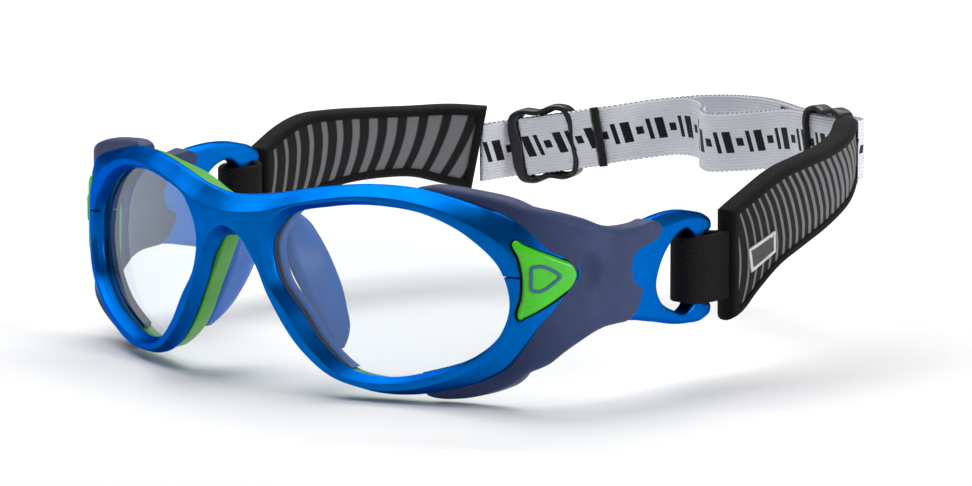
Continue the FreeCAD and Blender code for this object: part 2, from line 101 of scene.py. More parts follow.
def at_depth(loop, depth):
    depths = depth if isinstance(depth, list) else [depth] * len(loop)
    return [(p[0], p[1], d) for p, d in zip(loop, depths)]


def ease(low, high, value):
    t = min(1.0, max(0.0, (value - low) / (high - low)))
    return t * t * (3 - 2 * t)


def mix(a, b, t):
    return a + (b - a) * t


# ---------------------------------------------------------------- the plan of the front and temples
FRONT_Y = -8.0
NOSE_ROUND = 6.0
NOSE_SLOPE = 0.2365
WRAP_CURVE = 0.00228
CORNER_X = 58.0
CORNER_CURVE = 0.0109


def wrap_y(x):
    """Front face of the front in plan."""
    nose = NOSE_SLOPE * (math.sqrt(x * x + NOSE_ROUND ** 2) - NOSE_ROUND)
    return FRONT_Y + nose + WRAP_CURVE * x * x + CORNER_CURVE * max(0.0, abs(x) - CORNER_X) ** 3


TEMPLE_PLAN = [(67.6, 26.8), (68.1, 33.0), (67.9, 42.0), (67.2, 52.0), (66.5, 60.0), (66.0, 66.0),
    (65.6, 72.0)]


class Plan:
    """A line in plan that flat drawings are bent round: s runs along it, depth is to its left."""

    def __init__(self, points):
        self.x, self.y = (np.array(c) for c in zip(*points))
        self.s = np.concatenate([[0.0], np.cumsum(np.hypot(np.diff(self.x), np.diff(self.y)))])
        tx, ty = np.gradient(self.x, self.s), np.gradient(self.y, self.s)
        length = np.hypot(tx, ty)
        self.nx, self.ny = -ty / length, tx / length
        self.turn = int(np.argmax(self.x))

    def s_of_x(self, x):
        return math.copysign(float(np.interp(abs(x), self.x[:self.turn], self.s[:self.turn])), x)

    def s_of_y(self, y):
        return float(np.interp(y, self.y, self.s))

    def at(self, s):
        """Position and leftward normal at s, carried on straight past either end."""
        inside = min(max(s, 0.0), float(self.s[-1]))
        x, y = float(np.interp(inside, self.s, self.x)), float(np.interp(inside, self.s, self.y))
        nx, ny = float(np.interp(inside, self.s, self.nx)), float(np.interp(inside, self.s, self.ny))
        return x + (s - inside) * ny, y - (s - inside) * nx, nx, ny


def front_plan():
    front = [(0.5 * k, wrap_y(0.5 * k)) for k in range(134)]
    temple = smooth([front[-3], front[-1]] + TEMPLE_PLAN, 0.5)
    start = next(i for i, p in enumerate(temple) if p[1] > front[-1][1] + 0.2)
    return Plan(front + temple[start:])


PLAN = front_plan()


def bend(s, z, depth):
    """A flat point of the front or temple, put in place. Depth on the front runs straight back."""
    x, y, nx, ny = PLAN.at(abs(s))
    turned = ease(56.0, 65.0, x) if y < 30 else 1.0
    ux, uy = nx * turned, mix(1.0, ny, turned)
    reach = depth / (ux * nx + uy * ny)
    return (math.copysign(x + ux * reach, s), y + uy * reach, z)


def front_points(points):
    """Front-view points (x, z, ...) of the left half as flat points (s, z, ...)."""
    return [(PLAN.s_of_x(p[0]),) + tuple(p[1:]) for p in points]


def side_points(points):
    """Side-view points (y, z, ...) of the left temple as flat points (s, z, ...)."""
    return [(PLAN.s_of_y(p[0]),) + tuple(p[1:]) for p in points]


# ---------------------------------------------------------------- meshes
def weigh_normals(piece):
    """Lets large faces lead the shading, so that thin slivers don't show."""
    modifier = piece.modifiers.new("normals", "WEIGHTED_NORMAL")
    modifier.mode = "FACE_AREA"
    modifier.keep_sharp = True


def finish_mesh(bm, name, body, material, crease=32.0):
    """Turns a bmesh in millimetres into a piece that rides on a body."""
    bmesh.ops.remove_doubles(bm, verts=bm.verts[:], dist=1e-5)
    bmesh.ops.recalc_face_normals(bm, faces=bm.faces[:])
    limit = math.radians(crease)
    for edge in bm.edges:
        edge.smooth = len(edge.link_faces) != 2 or edge.calc_face_angle(0.0) < limit
    for face in bm.faces:
        face.smooth = True
    for vert in bm.verts:
        vert.co *= MM
    mesh = bpy.data.meshes.new(name)
    bm.to_mesh(mesh)
    bm.free()
    piece = bpy.data.objects.new(name, mesh)
    bpy.context.scene.collection.objects.link(piece)
    mesh.materials.append(material)
    weigh_normals(piece)
    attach(piece, body)
    return piece


def loft(bm, rows, closed=True):
    made = [[bm.verts.new(p) for p in row] for row in rows]
    for low, high in zip(made, made[1:]):
        for i in range(len(low) if closed else len(low) - 1):
            j = (i + 1) % len(low)
            bm.faces.new((low[i], low[j], high[j], high[i]))
    return made


def tube(bm, rows):
    """A loft with both ends closed."""
    made = loft(bm, rows)
    for ring in (made[0], made[-1]):
        bm.faces.new(ring)
    return made


def fill(bm, loops):
    edges = []
    for loop in loops:
        for i, vert in enumerate(loop):
            edges.append(bm.edges.get((vert, loop[i - 1])))
    bmesh.ops.triangle_fill(bm, use_beauty=True, use_dissolve=False, edges=edges)


def plate_mesh(outer, holes, place, slice_u=1.5, rows_v=()):
    """A flat plate drawn as rows of (u, v, depth), bent into place.

    outer runs from the back edge to the front edge; each hole from the front edge to the back one."""
    bm = bmesh.new()
    edge = loft(bm, outer)
    inner = [loft(bm, rows) for rows in holes]
    fill(bm, [edge[-1]] + [rows[0] for rows in inner])
    fill(bm, [edge[0]] + [rows[-1] for rows in inner])
    low = min(v.co.x for v in bm.verts)
    high = max(v.co.x for v in bm.verts)
    cuts = [(low + (high - low) * k / math.ceil((high - low) / slice_u), (1, 0, 0)) for k in range(1,
        math.ceil((high - low) / slice_u))]
    cuts += [(v, (0, 1, 0)) for v in rows_v]
    for value, normal in cuts:
        bmesh.ops.bisect_plane(bm, geom=bm.verts[:] + bm.edges[:] + bm.faces[:], dist=1e-5,
            plane_co=Vector(normal) * value, plane_no=normal)
    lay = bm.verts.layers.float_vector.new("lay")
    for vert in bm.verts:
        vert[lay] = vert.co
        vert.co = place(*vert.co)
    return bm


def mirrored(place):
    def other(u, v, depth):
        x, y, z = place(u, v, depth)
        return (-x, y, z)
    return other


def for_side(place, side):
    return place if side == LEFT else mirrored(place)


def cut(piece, cutters):
    """Takes the cutters' meshes out of a piece."""
    for bm in cutters:
        bmesh.ops.remove_doubles(bm, verts=bm.verts[:], dist=1e-5)
        bmesh.ops.recalc_face_normals(bm, faces=bm.faces[:])
        for vert in bm.verts:
            vert.co *= MM
        mesh = bpy.data.meshes.new("cutter")
        bm.to_mesh(mesh)
        bm.free()
        tool = bpy.data.objects.new("cutter", mesh)
        bpy.context.scene.collection.objects.link(tool)
        modifier = piece.modifiers.new("cut", "BOOLEAN")
        modifier.operation = "DIFFERENCE"
        modifier.solver = "EXACT"
        modifier.object = tool
        depsgraph = bpy.context.evaluated_depsgraph_get()
        result = bpy.data.meshes.new_from_object(piece.evaluated_get(depsgraph))
        piece.modifiers.remove(modifier)
        piece.data = result
        bpy.data.objects.remove(tool)


def round_rows(loop, radius, front, back, back_radius=0.4, steps=4):
    """Rows of a plate's edge: a small round at the back, a larger one at the front."""
    radii = radius if isinstance(radius, list) else [radius] * len(loop)
    rows = [at_depth(grow(loop, -back_radius * 2), back), at_depth(grow(loop, -back_radius), back),
        at_depth(grow(loop, -back_radius * 0.3), back - back_radius * 0.3),
        at_depth(loop, back - back_radius)]
    for k in range(steps + 1):
        angle = math.pi / 2 * k / steps
        inset = [-r * (1 - math.cos(angle)) for r in radii]
        rows.append(at_depth(grow(loop, inset), [front + r * (1 - math.sin(angle)) for r in radii]))
    rows.append(at_depth(grow(loop, [-r - 0.3 for r in radii]), front))
    return rows


def round_hole(loop, radius, front, back, steps=3):
    """Rows of a hole, front edge first."""
    rows = [at_depth(grow(loop, radius + 0.3), front)]
    for k in range(steps + 1):
        angle = math.pi / 2 * k / steps
        rows.append(at_depth(grow(loop, radius * (1 - math.sin(angle))),
            front + radius * (1 - math.cos(angle))))
    for k in range(steps + 1):
        angle = math.pi / 2 * k / steps
        rows.append(at_depth(grow(loop, radius * (1 - math.cos(angle))),
            back - radius * (1 - math.sin(angle))))
    rows.append(at_depth(grow(loop, radius + 0.3), back))
    return rows


# ---------------------------------------------------------------- materials
def node(tree, kind, inputs=None, **settings):
    made = tree.nodes.new(kind)
    for key, value in settings.items():
        setattr(made, key, value)
    for key, value in (inputs or {}).items():
        if isinstance(value, bpy.types.NodeSocket):
            tree.links.new(value, made.inputs[key])
        else:
            made.inputs[key].default_value = value
    return made


def calc(tree, operation, a, b=0.0, c=0.0):
    return node(tree, "ShaderNodeMath", {0: a, 1: b, 2: c}, operation=operation).outputs[0]


def blend_colour(tree, factor, a, b):
    return node(tree, "ShaderNodeMix", {"Factor": factor, 6: a, 7: b}, data_type="RGBA").outputs[2]


def rgb(red, green, blue):
    """A colour given as it looks on a screen, 0 to 255."""
    def linear(c):
        c /= 255.0
        return c / 12.92 if c <= 0.04045 else ((c + 0.055) / 1.055) ** 2.4
    return (linear(red), linear(green), linear(blue), 1.0)


def noise(tree, scale, detail=3.0, coords=None, stretch=None):
    """Noise between about 0.3 and 0.7, scale in waves per metre of the object."""
    where = coords or node(tree, "ShaderNodeTexCoord").outputs["Object"]
    if stretch:
        where = node(tree, "ShaderNodeMapping", {"Vector": where, "Scale": stretch}).outputs[0]
    return node(tree, "ShaderNodeTexNoise", {"Vector": where, "Scale": scale, "Detail": detail}).outputs[0]


def spread(tree, value, low, high, start=0.35, end=0.65):
    return node(tree, "ShaderNodeMapRange", {"Value": value, "From Min": start, "From Max": end,
        "To Min": low, "To Max": high}).outputs[0]


def bump(tree, height, distance, strength=1.0, onto=None):
    inputs = {"Height": height, "Distance": distance, "Strength": strength}
    if onto:
        inputs["Normal"] = onto
    return node(tree, "ShaderNodeBump", inputs).outputs[0]


def new_material(name):
    material = bpy.data.materials.new(name)
    material.use_nodes = True
    tree = material.node_tree
    tree.nodes.clear()
    shader = node(tree, "ShaderNodeBsdfPrincipled")
    output = node(tree, "ShaderNodeOutputMaterial")
    tree.links.new(shader.outputs[0], output.inputs[0])
    return material, tree, shader


def link(tree, socket, target):
    tree.links.new(socket, target)


def moulded(name, colour, shade, rough, metallic=0.0, grain=0.00002, grain_scale=5200.0, coat=0.0, sheen=0.0,
            specular=0.5, wear=None, edge_tint=None, waviness=0.00003):
    """A moulded material: fine grain, slow colour change, roughness in patches, rubbed edges."""
    material, tree, shader = new_material(name)
    slow = noise(tree, 90.0, 4.0)
    fine = noise(tree, grain_scale, 2.0)
    base = blend_colour(tree, spread(tree, slow, 0.0, 1.0), colour, shade)
    if wear:
        geometry = node(tree, "ShaderNodeNewGeometry")
        edges = spread(tree, geometry.outputs["Pointiness"], 0.0, 1.0, 0.53, 0.60)
        patches = spread(tree, noise(tree, 420.0, 4.0), 0.0, 1.0, 0.42, 0.62)
        base = blend_colour(tree, times(tree, edges, patches), base, wear)
    link(tree, base, shader.inputs["Base Color"])
    smudge = noise(tree, 260.0, 5.0)
    link(tree, spread(tree, smudge, rough - 0.05, rough + 0.07), shader.inputs["Roughness"])
    wave = noise(tree, 700.0, 2.0)
    normal = bump(tree, wave, waviness, 0.35)
    link(tree, bump(tree, fine, grain, 0.6, normal), shader.inputs["Normal"])
    shader.inputs["Metallic"].default_value = metallic
    shader.inputs["Coat Weight"].default_value = coat
    shader.inputs["Coat Roughness"].default_value = 0.18
    shader.inputs["Sheen Weight"].default_value = sheen
    shader.inputs["Specular IOR Level"].default_value = specular
    if edge_tint:
        shader.inputs["Specular Tint"].default_value = edge_tint
    return material


def lay_of(tree):
    """The flat coordinates of a cloth piece in millimetres: along and across."""
    split = node(tree, "ShaderNodeSeparateXYZ", {0: node(tree, "ShaderNodeAttribute",
        attribute_name="lay").outputs["Vector"]})
    return split.outputs[0], split.outputs[1]


def times(tree, *values):
    product = values[0]
    for value in values[1:]:
        product = calc(tree, "MULTIPLY", product, value)
    return product


def between(tree, value, low, high):
    """One where the value lies between low and high, zero elsewhere."""
    return times(tree, calc(tree, "GREATER_THAN", value, low), calc(tree, "LESS_THAN", value, high))


def wave_of(tree, value, period, phase=0.0):
    """A sine between 0 and 1."""
    turn = calc(tree, "MULTIPLY_ADD", value, 2 * math.pi / period, phase)
    return calc(tree, "MULTIPLY_ADD", calc(tree, "SINE", turn), 0.5, 0.5)


def woven(tree, along, across, period_u, period_v):
    """Plain weave: threads that pass over and under each other."""
    over = times(tree, wave_of(tree, along, period_u), wave_of(tree, across, period_v, 1.57))
    under = times(tree, wave_of(tree, along, period_u, math.pi),
        wave_of(tree, across, period_v, -1.57))
    return calc(tree, "ADD", over, under)


def cloth_material(name, colour, shade, period_u=0.55, period_v=0.55, depth=0.00012, rough=0.85, sheen=0.25):
    material, tree, shader = new_material(name)
    along, across = lay_of(tree)
    threads = woven(tree, along, across, period_u, period_v)
    fuzz = noise(tree, 2600.0, 3.0)
    patches = noise(tree, 160.0, 4.0)
    tone = calc(tree, "ADD", times(tree, threads, 0.45), spread(tree, patches, 0.0, 0.5))
    link(tree, blend_colour(tree, tone, shade, colour), shader.inputs["Base Color"])
    link(tree, spread(tree, fuzz, rough - 0.08, rough + 0.08), shader.inputs["Roughness"])
    normal = bump(tree, fuzz, 0.00006, 0.5)
    link(tree, bump(tree, threads, depth, 0.9, normal), shader.inputs["Normal"])
    shader.inputs["Sheen Weight"].default_value = sheen
    shader.inputs["Sheen Roughness"].default_value = 0.45
    shader.inputs["Specular IOR Level"].default_value = 0.25
    return material


def striped_cloth(name, rate, lean_start, lean_rate):
    """Charcoal cloth with curved grey stripes that widen towards the rear."""
    material, tree, shader = new_material(name)
    along, across = lay_of(tree)
    lean = calc(tree, "MULTIPLY_ADD", times(tree, across, across), 0.020,
        times(tree, across, calc(tree, "MULTIPLY_ADD", along, lean_rate, lean_start)))
    where = calc(tree, "ADD", along, lean)
    turns = calc(tree, "MULTIPLY_ADD", where, rate, times(tree, where, where, -0.004 * rate))
    phase = calc(tree, "FRACT", turns)
    share = spread(tree, where, 0.34, 0.70, 4.0, 46.0)
    rising = node(tree, "ShaderNodeMapRange", {"Value": phase, "From Min": 0.02,
        "From Max": 0.10}).outputs[0]
    falling = node(tree, "ShaderNodeMapRange", {"Value": calc(tree, "SUBTRACT", share, phase),
        "From Min": 0.0, "From Max": 0.08}).outputs[0]
    stripe = times(tree, rising, falling)
    threads = woven(tree, along, across, 0.5, 0.5)
    fuzz = noise(tree, 2600.0, 3.0)
    tone = times(tree, stripe, calc(tree, "MULTIPLY_ADD", threads, 0.35, 0.65))
    link(tree, blend_colour(tree, tone, rgb(22, 20, 22), rgb(128, 126, 130)), shader.inputs["Base Color"])
    link(tree, spread(tree, fuzz, 0.72, 0.9), shader.inputs["Roughness"])
    height = calc(tree, "MULTIPLY_ADD", stripe, 1.6, calc(tree, "MULTIPLY_ADD", threads, 0.5, fuzz))
    link(tree, bump(tree, height, 0.00010, 0.8), shader.inputs["Normal"])
    shader.inputs["Sheen Weight"].default_value = 0.05
    shader.inputs["Specular IOR Level"].default_value = 0.25
    return material


def elastic_material(name):
    """Ribbed white elastic with painted shade in the troughs between the ribs, and a plain woven row of
    slanted black bars and squares down its middle.
    """
    material, tree, shader = new_material(name)
    along, across = lay_of(tree)
    ribs = wave_of(tree, across, 0.62)
    picks = wave_of(tree, along, 0.45)
    fuzz = noise(tree, 2200.0, 3.0)
    stains = noise(tree, 120.0, 4.0)
    base = blend_colour(tree, spread(tree, stains, 0.0, 0.5), rgb(240, 241, 248), rgb(222, 224, 234))
    # Painted shade: the troughs between the ribs are darkened towards a bluish grey.
    base = blend_colour(tree, times(tree, calc(tree, "SUBTRACT", 1.0, ribs), 0.22), base,
        rgb(168, 172, 190))
    edge_line = times(tree, calc(tree, "GREATER_THAN", calc(tree, "ABSOLUTE", across), 6.08),
        calc(tree, "GREATER_THAN", wave_of(tree, along, 1.15), 0.45))
    base = blend_colour(tree, times(tree, edge_line, 0.75), base, rgb(46, 46, 54))
    slant = calc(tree, "MULTIPLY_ADD", across, -0.30, along)
    cell = calc(tree, "FRACT", times(tree, slant, 1 / 7.6))
    off_middle = calc(tree, "ABSOLUTE", across)
    bars = calc(tree, "MAXIMUM", between(tree, cell, 0.08, 0.34), between(tree, cell, 0.47, 0.60))
    tall = calc(tree, "LESS_THAN", off_middle, 2.3)
    small = times(tree, between(tree, cell, 0.72, 0.94), calc(tree, "LESS_THAN", off_middle, 0.85))
    ink = calc(tree, "MAXIMUM", times(tree, bars, tall), small)
    base = blend_colour(tree, ink, base, rgb(20, 20, 26))
    link(tree, base, shader.inputs["Base Color"])
    link(tree, spread(tree, fuzz, 0.78, 0.95), shader.inputs["Roughness"])
    height = calc(tree, "ADD", times(tree, ribs, 0.9), times(tree, picks, 0.45))
    normal = bump(tree, fuzz, 0.00005, 0.5)
    link(tree, bump(tree, height, 0.00012, 0.9, normal), shader.inputs["Normal"])
    shader.inputs["Sheen Weight"].default_value = 0.15
    shader.inputs["Specular IOR Level"].default_value = 0.25
    return material


def lens_material(name):
    """Clear hard-coated polycarbonate: light passes straight, with a clean reflection."""
    material, tree, shader = new_material(name)
    output = next(n for n in tree.nodes if n.bl_idname == "ShaderNodeOutputMaterial")
    smudge = noise(tree, 60.0, 4.0)
    link(tree, spread(tree, smudge, 0.015, 0.05), shader.inputs["Roughness"])
    shader.inputs["Base Color"].default_value = rgb(225, 234, 240)
    shader.inputs["Metallic"].default_value = 1.0
    clear = node(tree, "ShaderNodeBsdfTransparent", {"Color": (0.95, 0.965, 0.975, 1.0)})
    edge = node(tree, "ShaderNodeFresnel", {"IOR": 1.52})
    back = node(tree, "ShaderNodeNewGeometry").outputs["Backfacing"]
    link(tree, calc(tree, "MULTIPLY_ADD", back, 1 / 1.52 - 1.52, 1.52), edge.inputs["IOR"])
    share = calc(tree, "MULTIPLY_ADD", edge.outputs[0], 0.85, 0.01)
    blend = node(tree, "ShaderNodeMixShader", {0: share, 1: clear.outputs[0], 2: shader.outputs[0]})
    link(tree, blend.outputs[0], output.inputs[0])
    return material


def patch_material(name):
    """Plain grey woven patch."""
    material, tree, shader = new_material(name)
    along, across = lay_of(tree)
    threads = woven(tree, along, across, 0.35, 0.35)
    base = blend_colour(tree, times(tree, threads, 0.5), rgb(66, 68, 68), rgb(92, 94, 94))
    link(tree, base, shader.inputs["Base Color"])
    link(tree, bump(tree, threads, 0.00008, 0.8), shader.inputs["Normal"])
    shader.inputs["Roughness"].default_value = 0.85
    return material


BLUE = moulded("satin_blue", (0.0, 0.135, 0.520, 1), (0.0, 0.125, 0.485, 1), 0.35, metallic=1.0,
    grain=0.000004, grain_scale=9000.0, waviness=0.00001, edge_tint=(0.0, 0.42, 1.0, 1))
NAVY = moulded("grip_navy", rgb(42, 58, 100), rgb(37, 51, 90), 0.58, grain=0.00004, grain_scale=3800.0,
    sheen=0.04, specular=0.35)
LINER = moulded("liner_green", rgb(76, 174, 40), rgb(66, 156, 38), 0.36, grain_scale=6000.0,
    wear=rgb(120, 200, 90))
CAP_GREEN = moulded("cap_green", rgb(72, 214, 14), rgb(62, 196, 16), 0.30, coat=0.2, grain_scale=7000.0,
    wear=rgb(140, 235, 90))
CAP_MARK = moulded("cap_mark", rgb(52, 112, 138), rgb(44, 98, 128), 0.35, grain_scale=7000.0)
SILICONE = moulded("nose_silicone", rgb(14, 104, 196), rgb(12, 94, 184), 0.42, grain_scale=3000.0,
    specular=0.4)
# Black of the temple gasket. The same black also colours the painted shadow strip in the gap between lens and
# rim.
GASKET_AND_GAP_SHADOW = moulded("gasket_black", rgb(22, 26, 32), rgb(14, 17, 22), 0.5, grain_scale=3000.0)
PLASTIC = moulded("slider_black", rgb(34, 34, 37), rgb(27, 27, 30), 0.36, grain=0.00003, grain_scale=3500.0,
    wear=rgb(78, 78, 82))
STEEL = moulded("screw_steel", rgb(196, 198, 200), rgb(176, 178, 182), 0.28, metallic=1.0,
    grain_scale=8000.0)
BRASS = moulded("insert_brass", rgb(206, 172, 96), rgb(180, 144, 74), 0.32, metallic=1.0,
    grain_scale=8000.0)
LENS = lens_material("lens_clear")
WEBBING = cloth_material("webbing_black", rgb(13, 10, 13), rgb(4, 3, 4), 0.9, 0.7, 0.00014, sheen=0.0)
BINDING = cloth_material("binding_black", rgb(16, 14, 15), rgb(5, 4, 5), 0.7, 0.42, 0.00009, sheen=0.0)
STRIPES = striped_cloth("pad_stripes", 0.50, 0.16, 0.0)
LINING = striped_cloth("lining_stripes", 0.31, -0.05, -0.010)
ELASTIC = elastic_material("elastic_white")
HEM = cloth_material("hem_black", rgb(34, 34, 40), rgb(14, 14, 18), 0.5, 0.5, 0.0001)
PATCH = patch_material("patch_grey")
PATCH_EDGE = cloth_material("patch_edge", rgb(236, 236, 232), rgb(190, 190, 188), 0.3, 0.3, 0.00008,
    sheen=0.1)


# ---------------------------------------------------------------- the blue front
FRONT_THICK = 4.2
LINER_THICK = 2.8
TEMPLE_THICK = 4.8

OPENING = [(58.8, -1.5), (57.2, 5.8), (51.5, 11.9), (43.0, 16.4), (33.0, 18.0), (22.5, 17.2), (13.2, 14.3),
    (9.2, 8.0), (10.2, 1.0), (15.0, -5.6), (19.6, -12.0), (26.0, -17.0), (34.0, -18.2), (43.5, -16.2),
    (52.0, -12.4), (57.0, -7.2)]

# Rim of the left half from the top of the bridge round to the nose arch:
# outer edge (x, z), ridge (x, z), and how far the outer edge lies behind the front face.
RIM = [(0.0, 16.9, 0.0, 13.7, 3.2), (8.0, 17.6, 8.0, 14.3, 3.2), (19.5, 19.8, 18.9, 17.2, 3.2),
    (30.0, 21.1, 29.7, 19.0, 3.2), (41.0, 20.6, 40.3, 18.5, 3.1), (50.0, 18.5, 48.8, 16.1, 2.7),
    (56.6, 16.6, 54.9, 12.9, 1.9), (61.9, 14.2, 58.6, 10.0, 1.3), (64.6, 11.7, 60.1, 7.2, 0.8),
    (66.0, 9.7, 60.9, 4.8, 0.5), (66.75, 7.8, 61.0, 3.2, 0.3), (66.98, 4.7, 61.0, 1.4, 0.2),
    (66.6, 1.6, 60.8, -0.2, 0.25), (65.6, -1.1, 60.5, -2.2, 0.4), (64.0, -4.2, 60.0, -4.3, 0.6),
    (61.2, -9.3, 58.3, -8.0, 0.9), (57.3, -13.8, 54.8, -12.0, 1.4), (53.0, -16.4, 51.0, -14.8, 1.9),
    (46.3, -18.9, 45.2, -17.5, 2.4), (37.2, -20.7, 36.8, -19.5, 2.8), (30.4, -20.5, 30.7, -19.4, 3.0),
    (23.7, -18.4, 24.2, -17.6, 3.0), (17.5, -13.5, 18.1, -13.0, 3.2), (10.0, -2.8, 10.7, -2.5, 3.4),
    (6.0, 4.6, 6.9, 5.2, 3.4), (3.3, 7.6, 3.9, 9.1, 3.4), (0.0, 8.4, 0.0, 10.8, 3.4)]


def rim_loop():
    left = [(PLAN.s_of_x(o_x), o_z, PLAN.s_of_x(r_x), r_z, d) for o_x, o_z, r_x, r_z, d in RIM]
    right = [(-p[0], p[1], -p[2], p[3], p[4]) for p in left[-2:0:-1]]
    return smooth(left + right, 0.9, closed=True)


def opening_loop(step=0.9):
    return smooth(front_points(OPENING), step, closed=True)


def mirror_loop(loop):
    return [(-p[0],) + tuple(p[1:]) for p in loop]


def opening_rows(loop):
    """The wall of the opening: a bright chamfer, a fine step, the lens lip, and the space behind it."""
    profile = [(0.35, 0.0), (0.10, 0.02), (0.0, 0.14), (-0.52, 1.05), (-0.60, 1.20), (-0.50, 1.30),
        (-0.50, 1.42), (-0.95, 2.20), (-1.02, 2.45), (-0.95, 2.56), (0.90, 2.58), (0.95, 2.7),
        (0.95, FRONT_THICK)]
    return [at_depth(grow(loop, out), depth) for out, depth in profile]


CAP = [(66.75, 4.9), (66.5, 6.7), (65.5, 8.0), (60.8, 11.2), (59.5, 11.9), (59.25, 11.7), (60.3, 8.2),
    (60.9, 4.4), (60.8, 0.8), (60.2, -3.6), (60.35, -3.9), (61.3, -3.4), (65.6, 0.8), (66.5, 2.6)]


def cap_loop(amount=0.0):
    return grow(smooth(front_points(CAP), 0.5, closed=True), amount)


def box_rows(low_u, high_u, low_v, high_v, front, back):
    loop = [(low_u, low_v), (high_u, low_v), (high_u, high_v), (low_u, high_v)]
    return [at_depth(loop, back), at_depth(loop, front)]


def make_front():
    loop = rim_loop()
    edge = [(p[0], p[1]) for p in loop]
    ridge = [(p[2], p[3]) for p in loop]
    drop = [p[4] for p in loop]
    rows = [at_depth(grow(edge, -0.8), FRONT_THICK), at_depth(grow(edge, -0.35), FRONT_THICK),
        at_depth(grow(edge, -0.1), FRONT_THICK - 0.12), at_depth(edge, FRONT_THICK - 0.35),
        at_depth(edge, [d + 0.3 for d in drop])]
    for t in (0.06, 0.16, 0.35, 0.55, 0.75, 0.9, 0.97, 1.0):
        between = [(mix(a[0], b[0], t), mix(a[1], b[1], t)) for a, b in zip(edge, ridge)]
        rows.append(at_depth(between, [d * (1 - t) + 0.05 * ease(0.85, 1.0, t) for d in drop]))
    rows.append(at_depth(grow(ridge, -0.25), 0.0))
    left = opening_loop()
    holes = [opening_rows(left), opening_rows(mirror_loop(left))]
    piece = finish_mesh(plate_mesh(rows, holes, bend), "goggle_front", "front", BLUE,
        crease=24.0)
    cutters = []
    for side in (LEFT, RIGHT):
        recess = cap_loop(0.32) if side == LEFT else mirror_loop(cap_loop(0.32))
        cutters.append(plate_mesh([at_depth(recess, 1.9), at_depth(recess, -1.5)], [], bend))
        low, high = sorted((side * PLAN.s_of_x(56.4), side * PLAN.s_of_x(61.3)))
        cutters.append(plate_mesh(box_rows(low, high, 4.42, 4.78, -1.0, 1.6), [], bend))
    cut(piece, cutters)
    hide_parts("front_frame")


def liner_place(s, z, depth):
    """The liner is deeper beside the nose."""
    back = ease(FRONT_THICK + 0.5, FRONT_THICK + LINER_THICK, depth)
    return bend(s, z, depth + 1.3 * back * (1 - ease(16.0, 27.0, s)))


def make_liner(name, side):
    edge = [(2.2, 13.9), (9.0, 16.8), (20.0, 19.2), (31.0, 20.3), (41.0, 19.7), (50.0, 17.2), (57.5, 13.4),
        (61.0, 6.0), (60.6, -3.0), (56.5, -11.6), (49.0, -16.8), (38.0, -19.6), (30.5, -19.7),
        (22.8, -17.7), (16.5, -12.9), (9.1, -2.2), (5.2, 4.2), (2.8, 8.8)]
    loop = smooth(front_points(edge), 1.0, closed=True)
    opening = opening_loop()
    away = [mix(0.75, -0.12, ease(PLAN.s_of_x(20.0), PLAN.s_of_x(30.0), p[0])) for p in opening]
    hole = grow(opening, away)
    rows = round_rows(loop, 0.3, FRONT_THICK + 0.02, FRONT_THICK + LINER_THICK, 0.55)
    bm = plate_mesh(rows, [round_hole(hole, 0.4, FRONT_THICK + 0.02, FRONT_THICK + LINER_THICK)],
        for_side(liner_place, side))
    piece = finish_mesh(bm, "liner_rim_" + name, "front", LINER)
    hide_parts("rear_liner_" + name)


def make_nose_lip(name, side):
    """Silicone that lines the nasal wall of the rim, and in front of it a black strip of painted shadow where
    the gap between lens and rim lies in shade.
    """
    nasal = [p for p in opening_loop(0.7) if p[0] < PLAN.s_of_x(25.0)]
    nasal.sort(key=lambda p: -p[1])
    share = [ease(PLAN.s_of_x(25.0), PLAN.s_of_x(19.0), p[0]) for p in nasal]
    inner = [(p[0] + 0.15, p[1]) for p in nasal]
    outer = [(p[0] - 0.25 - 0.45 * f, p[1]) for p, f in zip(nasal, share)]
    loop = inner + outer[::-1]
    rows = [at_depth(loop, FRONT_THICK + LINER_THICK + 0.15), at_depth(loop, FRONT_THICK + 0.04)]
    finish_mesh(plate_mesh(rows, [], for_side(bend, side)), "nose_lip_" + name, "front", SILICONE)
    # Painted shadow: a black strip that stands for the shaded gap between the lens and the rim's nasal wall.
    # It is not a real seal.
    black = [(p[0] + 0.6, p[1]) for p in nasal] + [(p[0] + 0.2, p[1]) for p in nasal[::-1]]
    rows = [at_depth(black, FRONT_THICK + 0.5), at_depth(black, FRONT_THICK + 0.02)]
    finish_mesh(plate_mesh(rows, [], for_side(bend, side)), "lens_gap_shadow_" + name, "front", GASKET_AND_GAP_SHADOW)


def make_gasket(name, side):
    """Soft strip round the temple half of the opening, behind the lens."""
    opening = opening_loop(0.7)
    edges = list(zip(grow(opening, -0.15), grow(opening, -1.2)))
    limit = PLAN.s_of_x(39.6)
    first = next(i for i, p in enumerate(opening) if p[0] < limit)
    temple_half = [pair for pair in edges[first:] + edges[:first] if pair[0][0] >= limit]
    loop = [a for a, b in temple_half] + [b for a, b in temple_half[::-1]]
    rows = round_rows(loop, 0.22, FRONT_THICK + 0.03, FRONT_THICK + LINER_THICK - 0.45, 0.22, steps=3)
    piece = finish_mesh(plate_mesh(rows, [], for_side(bend, side)), "lens_gasket_" + name, "front", GASKET_AND_GAP_SHADOW,
        crease=50.0)
    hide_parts("rim_gasket_" + name)


